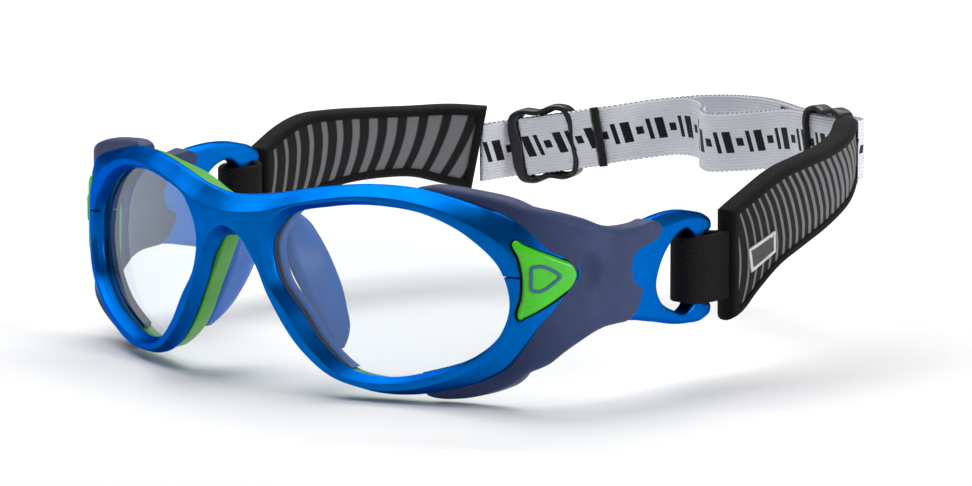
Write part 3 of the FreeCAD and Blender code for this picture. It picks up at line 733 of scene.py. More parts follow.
def make_cap(name, side):
    loop = cap_loop()
    rows = [at_depth(grow(loop, -0.6), 1.7), at_depth(loop, 1.6), at_depth(loop, 0.55),
        at_depth(grow(loop, -0.10), 0.34), at_depth(grow(loop, -0.32), 0.16),
        at_depth(grow(loop, -0.55), -0.02), at_depth(grow(loop, -0.70), -0.08),
        at_depth(grow(loop, -0.85), -0.10)]
    bm = plate_mesh(rows, [], for_side(bend, side), slice_u=0.8)
    cap = finish_mesh(bm, "end_cap_" + name, "front", CAP_GREEN, crease=40.0)
    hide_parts("lock_cap_" + name)
    outline = smooth(front_points([(65.5, 4.8), (64.8, 6.2), (63.2, 7.2), (62.3, 6.9), (62.1, 4.5),
        (62.3, 1.9), (63.1, 1.5), (64.7, 2.9)]), 0.4, closed=True)
    inner = grow(outline, -0.7)
    rows = [at_depth(outline, 0.3), at_depth(outline, -0.24), at_depth(grow(outline, -0.12), -0.34),
        at_depth(grow(outline, -0.25), -0.35)]
    hole = [at_depth(grow(inner, 0.2), -0.35), at_depth(grow(inner, 0.08), -0.33), at_depth(inner, -0.24),
        at_depth(inner, 0.3)]
    bm = plate_mesh(rows, [hole], for_side(bend, side), slice_u=0.8)
    finish_mesh(bm, "cap_rim_mark_" + name, "front", CAP_MARK)


# ---------------------------------------------------------------- temples
def edged(radius, points):
    """The points, all with one edge radius."""
    return [p + (radius,) for p in points]


def cover_loop():
    """The rubber cover's outline as (position, height, edge radius), from the top strip to the bottom one."""
    top = front_points([(38.0, 19.9, 0.4), (38.4, 20.6, 0.8), (40.5, 21.3, 1.1), (44.0, 21.2, 1.3),
        (49.0, 20.6, 1.4), (55.0, 19.8, 1.6), (60.0, 18.7, 1.8)])
    top += side_points([(18.5, 17.6, 2.0), (22.5, 16.6, 2.0), (27.0, 15.2, 2.0), (31.0, 13.7, 2.0),
        (35.0, 12.8, 1.9), (39.0, 12.5, 1.7), (43.0, 12.6, 1.3), (45.6, 12.9, 0.6)])
    rear = side_points(edged(0.3, [(47.4, 12.0), (48.1, 10.8), (46.8, 9.3), (43.6, 8.4), (40.6, 7.7),
        (38.8, 6.0), (38.5, 4.0), (39.6, 1.2), (41.9, -0.4), (41.6, -1.8), (40.9, -3.2), (39.7, -4.9)]))
    bottom = side_points([(37.6, -6.2, 0.6), (35.0, -6.5, 1.2), (31.5, -6.8, 1.6), (28.0, -7.8, 1.8),
        (24.5, -9.4, 1.8), (21.5, -11.2, 1.8)])
    bottom += front_points([(64.8, -13.0, 1.7), (61.5, -15.0, 1.5), (55.5, -18.3, 1.3), (50.5, -20.2, 1.2),
        (46.2, -21.1, 1.1), (42.6, -21.2, 1.0), (41.0, -20.8, 0.7), (40.5, -20.2, 0.4)])
    inner = front_points(edged(0.2, [(42.5, -18.6), (48.0, -16.9), (54.0, -13.9), (59.0, -9.4), (62.3, -4.9),
        (64.6, -1.4), (66.0, 1.4), (66.45, 4.7), (66.1, 7.4), (64.0, 9.9), (60.8, 12.3), (54.0, 15.2),
        (47.0, 17.6), (42.0, 18.7)]))
    return smooth(top + rear + bottom + inner, 0.8, closed=True)


COVER_START = PLAN.s_of_x(46.0)
COVER_FLUSH = PLAN.s_of_x(66.8)


def cover_front(s):
    """How far the cover's face lies under the outer face."""
    return mix(3.35, 0.12, ease(COVER_START, COVER_FLUSH, s)) - 0.12 * ease(COVER_FLUSH, COVER_FLUSH + 8, s)


def cover_back(s):
    return mix(FRONT_THICK + LINER_THICK + 0.2, TEMPLE_THICK, ease(COVER_START + 2, COVER_FLUSH - 9, s))


DIMPLE = (PLAN.s_of_y(25.6), 4.6)


def cover_place(s, z, share):
    front, back = cover_front(s), cover_back(s)
    depth = mix(front, back, share)
    if share < 0.3:
        ahead = (s - DIMPLE[0]) / (4.4 if s > DIMPLE[0] else 2.0)
        aside = (z - DIMPLE[1]) / 4.4
        hollow = max(0.0, 1.0 - ahead * ahead - aside * aside)
        depth += 1.3 * hollow ** 1.2
    return bend(s, z, depth)


def make_cover(name, side):
    loop = cover_loop()
    flat = [(p[0], p[1]) for p in loop]
    room = [cover_back(p[0]) - cover_front(p[0]) for p in loop]
    rows = [at_depth(grow(flat, -1.0), 1.0), at_depth(grow(flat, -0.5), 1.0),
        at_depth(grow(flat, -0.14), 0.965), at_depth(flat, 0.88)]
    for k in range(6):
        angle = math.pi / 2 * k / 5
        inset = [-p[2] * (1 - math.cos(angle)) for p in loop]
        rows.append(at_depth(grow(flat, inset), [p[2] * (1 - math.sin(angle)) / r for p,
            r in zip(loop, room)]))
    rows.append(at_depth(grow(flat, [-p[2] - 0.15 for p in loop]), 0.0))
    levels = [k * 0.9 for k in range(-4, 14)]
    bm = plate_mesh(rows, [], for_side(cover_place, side), slice_u=0.9, rows_v=levels)
    piece = finish_mesh(bm, "temple_grip_" + name, "front", NAVY, crease=45.0)
    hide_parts("temple_cover_" + name)


# Strap loop: outer edge (y, z), crease (y, z), and how far the edge lies under the crease.
LOOP_EDGE = [(41.5, 11.0, 42.0, 9.6, 1.3), (45.5, 12.7, 46.0, 10.6, 1.4), (50.0, 13.4, 50.4, 11.2, 1.4),
    (55.0, 13.5, 55.0, 11.6, 1.3), (60.0, 12.8, 59.6, 11.6, 0.9), (63.6, 11.6, 63.0, 10.8, 0.5),
    (65.2, 10.2, 64.5, 9.9, 0.4), (65.3, 8.9, 64.6, 9.0, 0.4), (64.6, 8.3, 64.2, 8.7, 0.4),
    (63.2, 8.2, 63.1, 8.7, 0.4), (62.3, 7.4, 61.9, 8.1, 0.4), (62.3, 5.0, 61.7, 5.2, 0.4),
    (62.3, 0.0, 61.7, 0.0, 0.4), (62.3, -4.6, 61.7, -4.8, 0.4), (62.6, -5.8, 62.2, -6.4, 0.4),
    (64.4, -6.2, 64.0, -6.7, 0.4), (65.3, -6.9, 64.6, -7.1, 0.4), (65.2, -8.1, 64.5, -7.9, 0.4),
    (62.8, -9.5, 62.4, -8.9, 0.5), (58.0, -9.7, 57.8, -8.9, 0.6), (53.0, -9.2, 53.0, -8.3, 0.7),
    (47.5, -8.0, 47.6, -7.2, 0.7), (42.0, -6.9, 42.2, -6.1, 0.7), (36.5, -5.4, 37.2, -4.7, 0.5),
    (35.2, 0.0, 35.8, 0.0, 0.5), (36.5, 8.9, 37.2, 8.1, 0.8)]
LOOP_SLOT = [(58.7, 8.6), (57.4, 9.5), (54.6, 9.2), (51.2, 7.0), (48.4, 3.6), (47.1, -0.8), (48.7, -4.0),
    (52.6, -6.2), (57.2, -7.2), (58.7, -6.4), (58.8, 0.0)]
LOOP_TOP_DEPTH = 0.55
LOOP_BACK_DEPTH = 4.2


def make_loop(name, side):
    loop = smooth([(PLAN.s_of_y(a), b, PLAN.s_of_y(c), d, e) for a, b, c, d, e in LOOP_EDGE], 0.7,
        closed=True)
    edge = [(p[0], p[1]) for p in loop]
    crease = [(p[2], p[3]) for p in loop]
    drop = [p[4] for p in loop]
    back = LOOP_BACK_DEPTH
    rows = [at_depth(grow(edge, -1.2), back), at_depth(grow(edge, -0.7), back),
        at_depth(grow(edge, -0.2), back - 0.2), at_depth(edge, back - 0.7),
        at_depth(edge, [LOOP_TOP_DEPTH + d + 0.25 for d in drop])]
    for t in (0.08, 0.25, 0.5, 0.75, 0.93, 1.0):
        between = [(mix(a[0], b[0], t), mix(a[1], b[1], t)) for a, b in zip(edge, crease)]
        rows.append(at_depth(between, [LOOP_TOP_DEPTH + d * (1 - t) ** 1.2 for d in drop]))
    rows.append(at_depth(grow(crease, -0.25), LOOP_TOP_DEPTH))
    slot = smooth(side_points(LOOP_SLOT), 0.7, closed=True)
    bm = plate_mesh(rows, [round_hole(slot, 0.6, LOOP_TOP_DEPTH, back)], for_side(bend, side), slice_u=1.2)
    piece = finish_mesh(bm, "strap_loop_" + name, "front", BLUE, crease=38.0)
    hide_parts("temple_arm_" + name)


# ---------------------------------------------------------------- nose pads
# Flange sections by height: z, then root, middle and free edge in plan, and thickness.
FLANGE = [(12.4, (6.6, 2.2), (7.8, 4.0), (8.6, 5.6), 0.9), (11.0, (6.2, 1.9), (7.8, 4.6), (9.0, 7.2), 1.6),
    (8.0, (6.6, 1.9), (8.2, 5.6), (9.3, 9.6), 1.8), (5.0, (7.6, 2.0), (8.7, 6.6), (9.7, 11.4), 1.9),
    (1.0, (9.4, 2.4), (10.3, 7.4), (11.0, 12.6), 1.9), (-3.0, (11.8, 3.0), (12.5, 8.2), (13.0, 12.7), 1.9),
    (-7.0, (14.4, 3.8), (14.8, 8.4), (15.1, 11.9), 1.8), (-10.0, (16.4, 4.2), (16.6, 8.2), (16.8, 10.9),
    1.7), (-12.4, (17.9, 4.7), (18.0, 7.0), (18.1, 8.9), 1.4),
    (-13.7, (18.7, 5.0), (18.7, 6.1), (18.8, 7.2), 0.9)]


def flange_section(z, root, middle, edge, thick):
    """A rounded strip at one height."""
    line = smooth([root, middle, edge], 0.12)
    samples = 9
    picked = [line[round(k * (len(line) - 1) / (samples - 1))] for k in range(samples)]
    left, right = [], []
    for i, p in enumerate(picked):
        before, after = picked[max(i - 1, 0)], picked[min(i + 1, samples - 1)]
        dx, dy = after[0] - before[0], after[1] - before[1]
        length = math.hypot(dx, dy)
        share = i / (samples - 1)
        half = thick / 2 * (1.25 - 0.55 * share) * min(1.0, 0.25 + 4.5 * (1 - share), 0.4 + 5 * share)
        left.append((p[0] - dy / length * half, p[1] + dx / length * half, z))
        right.append((p[0] + dy / length * half, p[1] - dx / length * half, z))
    return left + right[::-1]


def make_nose_pads():
    bm = bmesh.new()
    heights = smooth([(s[0], 0.0) + s[1] + s[2] + s[3] + (s[4],) for s in FLANGE], 0.8)
    for side in (LEFT, RIGHT):
        rows = []
        for p in heights:
            section = flange_section(p[0], (p[2], p[3]), (p[4], p[5]), (p[6], p[7]), p[8])
            rows.append([(side * x, y, z) for x, y, z in section])
        tube(bm, rows)
    saddle = [(-8.4, 2.4), (-4.5, 0.2), (0.0, -0.5), (4.5, 0.2), (8.4, 2.4)]
    rows = []
    for x, y in smooth(saddle, 0.8):
        rows.append([(x, y - 0.5, 10.3), (x, y - 0.5, 14.2), (x, y - 0.2, 14.6), (x, y + 1.0, 14.5),
            (x, y + 1.3, 14.0), (x, y + 1.3, 10.6), (x, y + 1.0, 10.1), (x, y - 0.2, 10.0)])
    tube(bm, rows)
    piece = finish_mesh(bm, "nose_cushion", "front", SILICONE, crease=60.0)
    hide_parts("nose_pads")


# ---------------------------------------------------------------- webbing, pads and elastic
class Path:
    """A line in plan with a height; cloth bands are swept along it, depth to its left."""

    def __init__(self, points, height):
        self.plan = Plan(smooth(points, 0.5))
        self.height = height

    def place(self, s, across, through):
        x, y, nx, ny = self.plan.at(s)
        return (x + nx * through, y + ny * through, self.height(x) + across)


def ribbon(path, half, thick, start=0.0, end=None, step=0.6, scallop=0.0):
    """A woven band with rounded edges, its flat coordinates kept for the weave."""
    bm = bmesh.new()
    lay = bm.verts.layers.float_vector.new("lay")
    end = float(path.plan.s[-1]) if end is None else end
    count = max(2, round((end - start) / step))
    across = 14
    rows, flat = [], []
    for i in range(count + 1):
        s = mix(start, end, i / count)
        reach = (half(s) if callable(half) else half) + scallop * abs(math.sin(s * math.pi / 1.15))
        closing = min(1.0, 0.35 + (i / 2), 0.35 + (count - i) / 2)
        body = thick / 2 * closing
        section = []
        for k in range(across + 1):
            v = mix(-reach + body, reach - body, k / across)
            section.append((v, body))
        for angle in (60, 30, 0, -30, -60):
            section.append((reach - body + body * math.cos(math.radians(angle)),
                body * math.sin(math.radians(angle))))
        for k in range(across + 1):
            v = mix(reach - body, -reach + body, k / across)
            section.append((v, -body))
        for angle in (-60, -30, 0, 30, 60):
            section.append((-reach + body - body * math.cos(math.radians(angle)),
                body * math.sin(math.radians(angle))))
        flat.append([(s, v, w) for v, w in section])
        rows.append([path.place(s, v, w) for v, w in section])
    for ring, marks in zip(tube(bm, rows), flat):
        for vert, mark in zip(ring, marks):
            vert[lay] = mark
    return bm


def flip(bm, side):
    if side == RIGHT:
        for vert in bm.verts:
            vert.co.x = -vert.co.x
    return bm


WEB_PLAN = [(66.95, 71.0), (66.95, 67.0), (67.2, 63.0), (67.15, 59.8), (66.2, 57.6), (64.4, 56.8),
    (62.7, 57.0), (61.4, 58.2), (60.8, 60.2), (60.9, 62.6), (62.8, 65.6), (65.0, 67.3), (65.45, 69.0),
    (65.5, 71.0)]


WEB_MIDDLE = 1.05


def make_webbing(name, side):
    path = Path(WEB_PLAN, lambda x: WEB_MIDDLE)

    def half(s):
        y = path.plan.at(s)[1]
        return mix(6.35, 6.95, ease(55.0, 60.0, y))
    piece = finish_mesh(flip(ribbon(path, half, 1.3, step=0.5), side), "webbing_band_" + name, "strap_set",
        WEBBING, crease=60.0)
    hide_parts("webbing_loop_" + name)


PAD_PLAN = [(66.1, 68.0), (66.5, 74.0), (66.3, 83.0), (63.9, 98.5), (58.9, 112.5), (50.6, 124.2)]
PAD_LINE = Plan(smooth(PAD_PLAN, 0.5))
# Top and bottom edges of a side pad seen from the side (y, z), front to rear.
PAD_TOP = {
    LEFT: [(66.6, 12.2), (70.5, 13.6), (75.5, 15.9), (83.0, 18.8), (92.0, 20.2), (101.0, 20.9), (110.0, 22.0),
           (117.5, 23.2), (124.2, 23.0)],
    RIGHT: [(66.8, 10.4), (71.0, 11.8), (76.0, 14.2), (82.0, 16.0), (90.0, 16.2), (100.0, 15.8), (110.0, 15.4),
            (118.0, 15.4), (123.8, 14.8)]}
PAD_BOTTOM = {
    LEFT: [(67.6, -10.4), (70.2, -9.8), (75.5, -5.6), (82.0, -1.4), (90.0, 1.4), (100.0, 4.0), (110.0, 6.6),
           (117.5, 8.6), (124.2, 8.4)],
    RIGHT: [(68.4, -10.0), (71.5, -9.0), (77.0, -5.2), (84.0, -2.0), (92.0, -0.4), (102.0, 0.2), (110.0, -0.2),
            (116.0, -2.0), (121.0, -3.4)]}
# Nominal height by which the rows across a pad are counted, and the height its stripes are drawn round.
PAD_ROWS_HEIGHT = 16.0
STRIPE_MIDDLE = 5.0
PAD_HALF = 2.3
BINDING_WIDTH = 2.1


def pad_place(s, z, through):
    x, y, nx, ny = PAD_LINE.at(s)
    return (x + nx * through, y + ny * through, z)


def along_line(points, share):
    """The point a share of the way along a line."""
    steps = [math.dist(a, b) for a, b in zip(points, points[1:])]
    left = share * sum(steps)
    for a, b, step in zip(points, points[1:], steps):
        if left <= step:
            return (mix(a[0], b[0], left / step), mix(a[1], b[1], left / step))
        left -= step
    return points[-1]


def edge_distances(length, edge_steps, step):
    """Distances across a length that crowd together at both ends."""
    room = length - 2 * edge_steps[-1]
    inner = max(2, round(room / step))
    middle = [edge_steps[-1] + room * k / inner for k in range(1, inner)]
    return list(edge_steps) + middle + [length - d for d in edge_steps[::-1]]


def stretched(distance, nominal, real, edge):
    """A distance across the nominal height carried over to the real one; the edge strips keep their width."""
    if distance <= edge:
        return distance
    if distance >= nominal - edge:
        return real - (nominal - distance)
    return edge + (distance - edge) / (nominal - 2 * edge) * (real - 2 * edge)


def cushion(side, start, edge_steps, profile, place):
    """A closed cushion start mm inside the pad's edges, as thick as profile says at each edge distance."""
    def to_flat(points):
        return smooth([(PAD_LINE.s_of_y(y), z) for y, z in points], 0.8)
    top, bottom = to_flat(PAD_TOP[side]), to_flat(PAD_BOTTOM[side])
    length = sum(math.dist(a, b) for a, b in zip(top, top[1:]))
    bm = bmesh.new()
    lay = bm.verts.layers.float_vector.new("lay")
    grids = {}
    columns = edge_distances(length - 2 * start, edge_steps, 1.3)
    nominal = PAD_ROWS_HEIGHT - 2 * start
    rows = edge_distances(nominal, edge_steps, 1.1)
    for sign in (-1, 1):
        grid = []
        for i, along in enumerate(columns):
            share = (start + along) / length
            high, low = along_line(top, share), along_line(bottom, share)
            tall = math.dist(high, low)
            line = []
            for k, across in enumerate(rows):
                down = stretched(across, nominal, tall - 2 * start, edge_steps[-1])
                t = (start + down) / tall
                flat = (mix(high[0], low[0], t), mix(high[1], low[1], t))
                near = min(along, length - 2 * start - along, down, tall - 2 * start - down)
                border = i in (0, len(columns) - 1) or k in (0, len(rows) - 1)
                if sign == 1 and border:
                    line.append(grids[-1][i][k])
                    continue
                through = 0.0 if border else sign * profile(near)
                vert = bm.verts.new(place(flat[0], flat[1], through))
                vert[lay] = (flat[0], flat[1] - STRIPE_MIDDLE, near)
                line.append(vert)
            grid.append(line)
        grids[sign] = grid
        for i in range(len(columns) - 1):
            for k in range(len(rows) - 1):
                bm.faces.new((grid[i][k], grid[i + 1][k], grid[i + 1][k + 1], grid[i][k + 1]))
    return bm


def make_pad(name, side):
    place = for_side(pad_place, side)

    def folded(distance):
        if distance >= 1.1:
            return PAD_HALF + 0.25 - 0.12 * ease(1.6, BINDING_WIDTH, distance)
        return (PAD_HALF + 0.25) * math.sqrt(max(0.0, 1 - (1 - distance / 1.1) ** 2))

    steps = (0.0, 0.12, 0.35, 0.7, 1.1, 1.6, BINDING_WIDTH)
    bm = cushion(side, 0.0, steps, folded, place)
    lay = bm.verts.layers.float_vector["lay"]
    inside = [f for f in bm.faces if min(v[lay][2] for v in f.verts) > BINDING_WIDTH - 0.01]
    bmesh.ops.delete(bm, geom=inside, context="FACES_ONLY")
    open_edges = [e for e in bm.edges if len(e.link_faces) == 1]
    bmesh.ops.bridge_loops(bm, edges=open_edges)
    binding = finish_mesh(bm, "wing_binding_" + name, "strap_set", BINDING, crease=60.0)
    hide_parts("pad_binding_" + name)

    def pillow(distance):
        edge = PAD_HALF - 0.25
        if distance < 0.3:
            return edge * math.sqrt(max(0.0, 1 - (1 - distance / 0.3) ** 2))
        return edge + 0.4 * ease(0.3, 4.5, distance)

    bm = cushion(side, BINDING_WIDTH - 0.5, (0.0, 0.15, 0.3, 0.55, 0.9), pillow, place)
    face = finish_mesh(bm, "wing_pad_" + name, "strap_set", STRIPES if side == LEFT else LINING,
        crease=60.0)
    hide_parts("pad_core_" + name, "pad_face_" + name, "pad_lining_" + name)


def make_patch(name, side):
    corners = [(72.4, 3.9), (80.2, 6.7), (80.4, 2.4), (73.2, -0.9)]
    flat = [(PAD_LINE.s_of_y(y), z) for y, z in corners]
    loop = []
    for i, p in enumerate(flat):
        q = flat[(i + 1) % 4]
        loop += [(mix(p[0], q[0], k / 8), mix(p[1], q[1], k / 8)) for k in range(8)]
    place = for_side(pad_place, side)
    under, top = -PAD_HALF + 0.3, -PAD_HALF - 0.5
    rows = [at_depth(loop, under), at_depth(loop, top), at_depth(grow(loop, -0.2), top - 0.06),
        at_depth(grow(loop, -0.45), top - 0.06)]
    hole_loop = grow(loop, -0.62)
    hole = [at_depth(grow(loop, -0.5), top - 0.06), at_depth(hole_loop, top), at_depth(hole_loop, under)]
    finish_mesh(plate_mesh(rows, [hole], place), "patch_border_" + name, "strap_set", PATCH_EDGE)
    rows = [at_depth(grow(loop, -0.4), under), at_depth(grow(loop, -0.4), top + 0.1)]
    patch = finish_mesh(plate_mesh(rows, [], place), "wing_patch_" + name, "strap_set", PATCH)
    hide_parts("pad_patch_" + name)


SLIDER_AT = (40.3, 131.0)
SLIDER_YAW = math.radians(18.0)
SLIDER_Z = {LEFT: 15.2, RIGHT: 6.8}
SLIDER_SLOPE = {LEFT: -0.04, RIGHT: 0.19}
RIGHT_HEIGHT = [(-53.0, 4.3), (-46.0, 5.7), (-40.3, 6.8), (-33.4, 8.2), (-26.5, 9.6)]
LEFT_HEIGHT = [(26.5, 14.6), (33.4, 14.9), (40.3, 15.2), (46.0, 15.5), (53.0, 15.8)]
OUTER_HEIGHT = RIGHT_HEIGHT + [(-12.0, 12.2), (0.0, 13.5), (12.0, 14.2)] + LEFT_HEIGHT
INNER_HEIGHT = RIGHT_HEIGHT + [(-18.0, 11.4), (-11.0, 12.3), (-3.0, 12.1), (4.0, 11.6),
    (12.0, 12.4)] + LEFT_HEIGHT
INNER_BACK = [(19.0, 136.4), (11.0, 134.8), (4.5, 133.6), (0.6, 135.6), (-2.6, 139.8), (-7.5, 143.2),
    (-13.5, 143.6), (-20.0, 140.6)]
OUTER_BACK = [(19.0, 142.2), (9.0, 146.4), (-2.0, 147.9), (-12.0, 146.9), (-20.0, 143.2)]
STRAIGHT = (-8.3, -5.5, -2.0, 2.0, 7.0, 12.0, 15.0)


def height_along(points):
    line = smooth(points, 1.0)

    def height(x):
        return float(np.interp(x, [p[0] for p in line], [p[1] for p in line]))
    return height


def on_slider(distance, outward):
    return (SLIDER_AT[0] - math.cos(SLIDER_YAW) * distance + math.sin(SLIDER_YAW) * outward,
        SLIDER_AT[1] + math.sin(SLIDER_YAW) * distance + math.cos(SLIDER_YAW) * outward)


def ply_line(outward, sewn, back):
    left = sewn + [on_slider(d, outward) for d in STRAIGHT]
    return left + back + [(-x, y) for x, y in left[::-1]]


def make_plies():
    inner = Path(ply_line(0.0, [(51.2, 122.2), (50.1, 124.1)], INNER_BACK), height_along(INNER_HEIGHT))
    outer = Path(ply_line(2.6, [(52.1, 122.9), (51.2, 124.7)], OUTER_BACK), height_along(OUTER_HEIGHT))
    piece = finish_mesh(ribbon(inner, 6.15, 1.0, step=0.38, scallop=0.2), "elastic_inner_ply", "strap_set",
        ELASTIC, crease=70.0)
    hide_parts("strap_inner_ply")
    piece = finish_mesh(ribbon(outer, 6.15, 1.0, step=0.38, scallop=0.2), "elastic_outer_ply", "strap_set",
        ELASTIC, crease=70.0)
    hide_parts("strap_outer_ply")
    return inner, outer


def make_stitching(outer):
    """Close rows of black box stitching on the inside of the outer ply, beside the left slider."""
    start = float(np.interp(-23.0, -outer.plan.x, outer.plan.s))
    end = float(np.interp(-17.0, -outer.plan.x, outer.plan.s))
    bm = bmesh.new()
    rows = 12
    for k in range(rows):
        across = mix(-5.0, 5.0, k / (rows - 1))
        for i in range(9):
            s = mix(start, end, (i + 0.5) / 9)
            length = (end - start) / 9 * 0.46
            ring = []
            for u, w in ((-length, 0.05), (-length * 0.5, 0.34), (length * 0.5, 0.34), (length, 0.05)):
                ring.append([outer.place(s + u, across + v, 0.42 + w * f) for v,
                    f in ((-0.36, 0.0), (-0.22, 0.8), (0.0, 1.0), (0.22, 0.8), (0.36, 0.0))])
            made = loft(bm, ring, closed=False)
            bm.faces.new([row[0] for row in made] + [row[-1] for row in made[::-1]])
            bm.faces.new(made[0])
            bm.faces.new(made[-1])
    piece = finish_mesh(bm, "box_stitching", "strap_set", HEM, crease=60.0)
    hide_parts("stitch_block")


# ---------------------------------------------------------------- sliders
def slider_place(side):
    """From slider axes (along, up, outward) to its place on the left, then across if needed."""
    rise = Matrix.Rotation(-math.atan(SLIDER_SLOPE[side]), 4, "Y")
    turn = Matrix.Rotation(math.pi - SLIDER_YAW, 4, "Z")
    flipped = Matrix.Rotation(math.pi, 4, "X")
    matrix = Matrix.Translation((SLIDER_AT[0], SLIDER_AT[1], SLIDER_Z[side])) @ turn @ rise @ flipped

    def place(along, up, depth):
        x, y, z = matrix @ Vector((along, depth, up))
        return (side * x, y, z)
    return place


def rounded_bar(bm, place, start, end, low, high, near, far, radius):
    """An upright bar with rounded long edges."""
    section = []
    for cu, cd, first in ((end - radius, far - radius, 0), (start + radius, far - radius, 90),
                          (start + radius, near + radius, 180), (end - radius, near + radius, 270)):
        for k in range(4):
            angle = math.radians(first + 30 * k)
            section.append((cu + radius * math.cos(angle), cd + radius * math.sin(angle)))
    tube(bm, [[place(u, v, d) for u, d in section] for v in (low, mix(low, high, 0.5), high)])


def make_slider(name, side):
    end = 7.8
    half = 1.8
    quarter = [(end, 4.6), (end - 0.9, 7.1), (3.7, 8.2)]
    top = [(-u, v) for u, v in quarter] + [(0.0, 7.5)] + quarter[::-1]
    outline = [(-end, 0.0)] + top + [(end, 0.0)] + [(u, -v) for u, v in top[::-1]]
    loop = smooth(outline, 0.6, closed=True)
    slot = 6.6
    window = smooth([(-4.9, 0.0), (-4.9, slot - 0.5), (-4.4, slot), (0.0, slot), (end - 1.6, slot),
        (end - 1.1, slot - 0.5), (end - 1.1, 0.0), (end - 1.1, 0.5 - slot), (end - 1.6, -slot),
        (0.0, -slot), (-4.4, -slot), (-4.9, 0.5 - slot)], 0.6, closed=True)
    place = slider_place(side)
    bm = plate_mesh(round_rows(loop, 0.8, -half, half, 0.7), [round_hole(window, 0.4, -half, half)], place)
    for start, stop, near, far in ((-0.9, 0.9, 0.95, half), (end - 2.5, end - 0.9, 0.95, half)):
        rounded_bar(bm, place, start, stop, -slot - 0.6, slot + 0.6, near, far, 0.4)
    piece = finish_mesh(bm, "strap_slider_" + name, "slider_" + name, PLASTIC, crease=50.0)
    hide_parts("slider_" + name)


def make_tail():
    place = slider_place(RIGHT)

    class Line:
        plan = Plan([(0.0, 0.0), (17.5, 0.0)])

        @staticmethod
        def place(s, across, through):
            return place(s - 4.9, across, -1.2 + through)
    bm = ribbon(Line, 6.15, 0.85, step=0.38, scallop=0.2)
    piece = finish_mesh(bm, "elastic_tail", "slider_right", ELASTIC, crease=70.0)
    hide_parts("strap_tail")

    class Edge:
        plan = Plan([(0.0, 0.0), (1.8, 0.0)])

        @staticmethod
        def place(s, across, through):
            return place(s + 12.5 + 0.12 * math.sin(across * 2.0), across, -1.2 + through)
    bm = ribbon(Edge, 6.5, 1.05, step=0.3)
    piece = finish_mesh(bm, "elastic_tail_hem", "slider_right", HEM, crease=70.0)
    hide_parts("tail_hem")


# ---------------------------------------------------------------- making the object
make_front()
for side_name, side_value in SIDES:
    make_liner(side_name, side_value)
    make_nose_lip(side_name, side_value)
    make_gasket(side_name, side_value)
    make_cap(side_name, side_value)
    make_cover(side_name, side_value)
    make_loop(side_name, side_value)
    make_webbing(side_name, side_value)
    make_pad(side_name, side_value)
    make_slider(side_name, side_value)
make_patch("left", LEFT)
make_patch("right", RIGHT)
make_nose_pads()
inner_path, outer_path = make_plies()
make_stitching(outer_path)
make_tail()

CAD_FINISH = {"lens_left": LENS, "lens_right": LENS, "temple_screw_left": STEEL,
    "temple_screw_right": STEEL, "threaded_insert_left": BRASS, "threaded_insert_right": BRASS}
for node_name, finish in CAD_FINISH.items():
    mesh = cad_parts[node_name].data
    mesh.materials.clear()
    mesh.materials.append(finish)


# ---------------------------------------------------------------- floor, light and camera
FLOOR_Z = -22.2


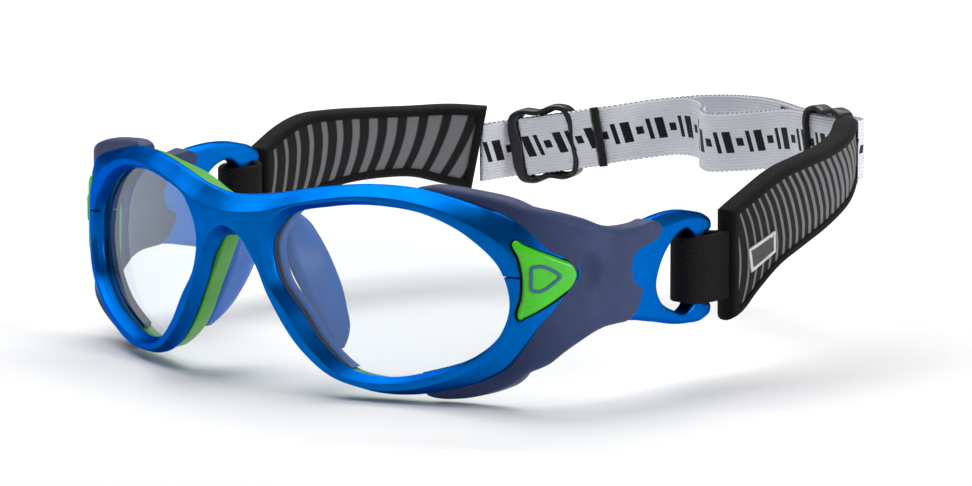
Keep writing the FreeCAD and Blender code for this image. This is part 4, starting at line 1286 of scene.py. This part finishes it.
def make_floor():
    """A wide pale floor just under the object."""
    bm = bmesh.new()
    places = [-6000.0, -3000.0, -1200.0, -400.0, 0.0, 400.0, 1200.0, 3000.0, 6000.0]
    loft(bm, [[(x, y, FLOOR_Z) for x in places] for y in places], closed=False)
    for face in bm.faces:
        face.smooth = True
    for vert in bm.verts:
        vert.co *= MM
    mesh = bpy.data.meshes.new("studio_floor")
    bm.to_mesh(mesh)
    bm.free()
    floor = bpy.data.objects.new("studio_floor", mesh)
    bpy.context.scene.collection.objects.link(floor)
    material, tree, shader = new_material("floor_pale")
    tone = spread(tree, noise(tree, 6.0, 3.0), 0.0, 1.0)
    link(tree, blend_colour(tree, tone, (0.90, 0.90, 0.905, 1), (0.92, 0.92, 0.925, 1)),
        shader.inputs["Base Color"])
    shader.inputs["Roughness"].default_value = 0.9
    shader.inputs["Specular IOR Level"].default_value = 0.1
    mesh.materials.append(material)


def make_light(name, at, target, size, energy):
    data = bpy.data.lights.new(name, "AREA")
    data.shape = "RECTANGLE"
    data.size, data.size_y = size
    data.energy = energy
    lamp = bpy.data.objects.new(name, data)
    bpy.context.scene.collection.objects.link(lamp)
    lamp.location = Vector(at)
    lamp.rotation_euler = (Vector(target) - Vector(at)).to_track_quat("-Z", "Y").to_euler()
    return lamp


OBJECT_MIDDLE = (0.0, 0.05, 0.0)
# Name, place, aim, size in metres and power of each soft box.
LIGHTS = (("top_box", (-0.30, 0.08, 0.95), OBJECT_MIDDLE, (1.4, 0.9), 11.0),
          ("right_box", (0.95, 0.35, 0.32), OBJECT_MIDDLE, (0.6, 0.6), 6.5),
          ("backdrop_wash", (-0.9, 0.9, 1.2), (-1.3, 1.5, 0.2), (1.6, 1.0), 36.0))


def make_studio():
    world = bpy.data.worlds.new("studio")
    world.use_nodes = True
    world.node_tree.nodes["Background"].inputs[0].default_value = (1.0, 1.0, 1.0, 1.0)
    world.node_tree.nodes["Background"].inputs[1].default_value = 0.17
    bpy.context.scene.world = world
    for name, at, target, size, energy in LIGHTS:
        make_light(name, at, target, size, energy)


def make_camera():
    azimuth, elevation = math.radians(43.0), math.radians(9.77)
    right = Vector((math.cos(azimuth), math.sin(azimuth), 0))
    back = Vector((math.sin(azimuth) * math.cos(elevation), -math.cos(azimuth) * math.cos(elevation),
        math.sin(elevation)))
    up = back.cross(right)
    target = right * 52.46 + up * 1.08 + Vector((0, -8.0, 6.1))
    distance = 1501.0
    data = bpy.data.cameras.new("camera")
    data.sensor_width = 36.0
    data.lens = 278.7
    data.clip_start, data.clip_end = 0.05, 20.0
    camera = bpy.data.objects.new("camera", data)
    bpy.context.scene.collection.objects.link(camera)
    camera.matrix_world = (Matrix.Translation((target + back * distance) * MM)
                           @ Matrix((right, up, back)).transposed().to_4x4())
    bpy.context.scene.camera = camera


make_floor()
make_studio()
make_camera()
bpy.context.scene.view_settings.view_transform = "Standard"
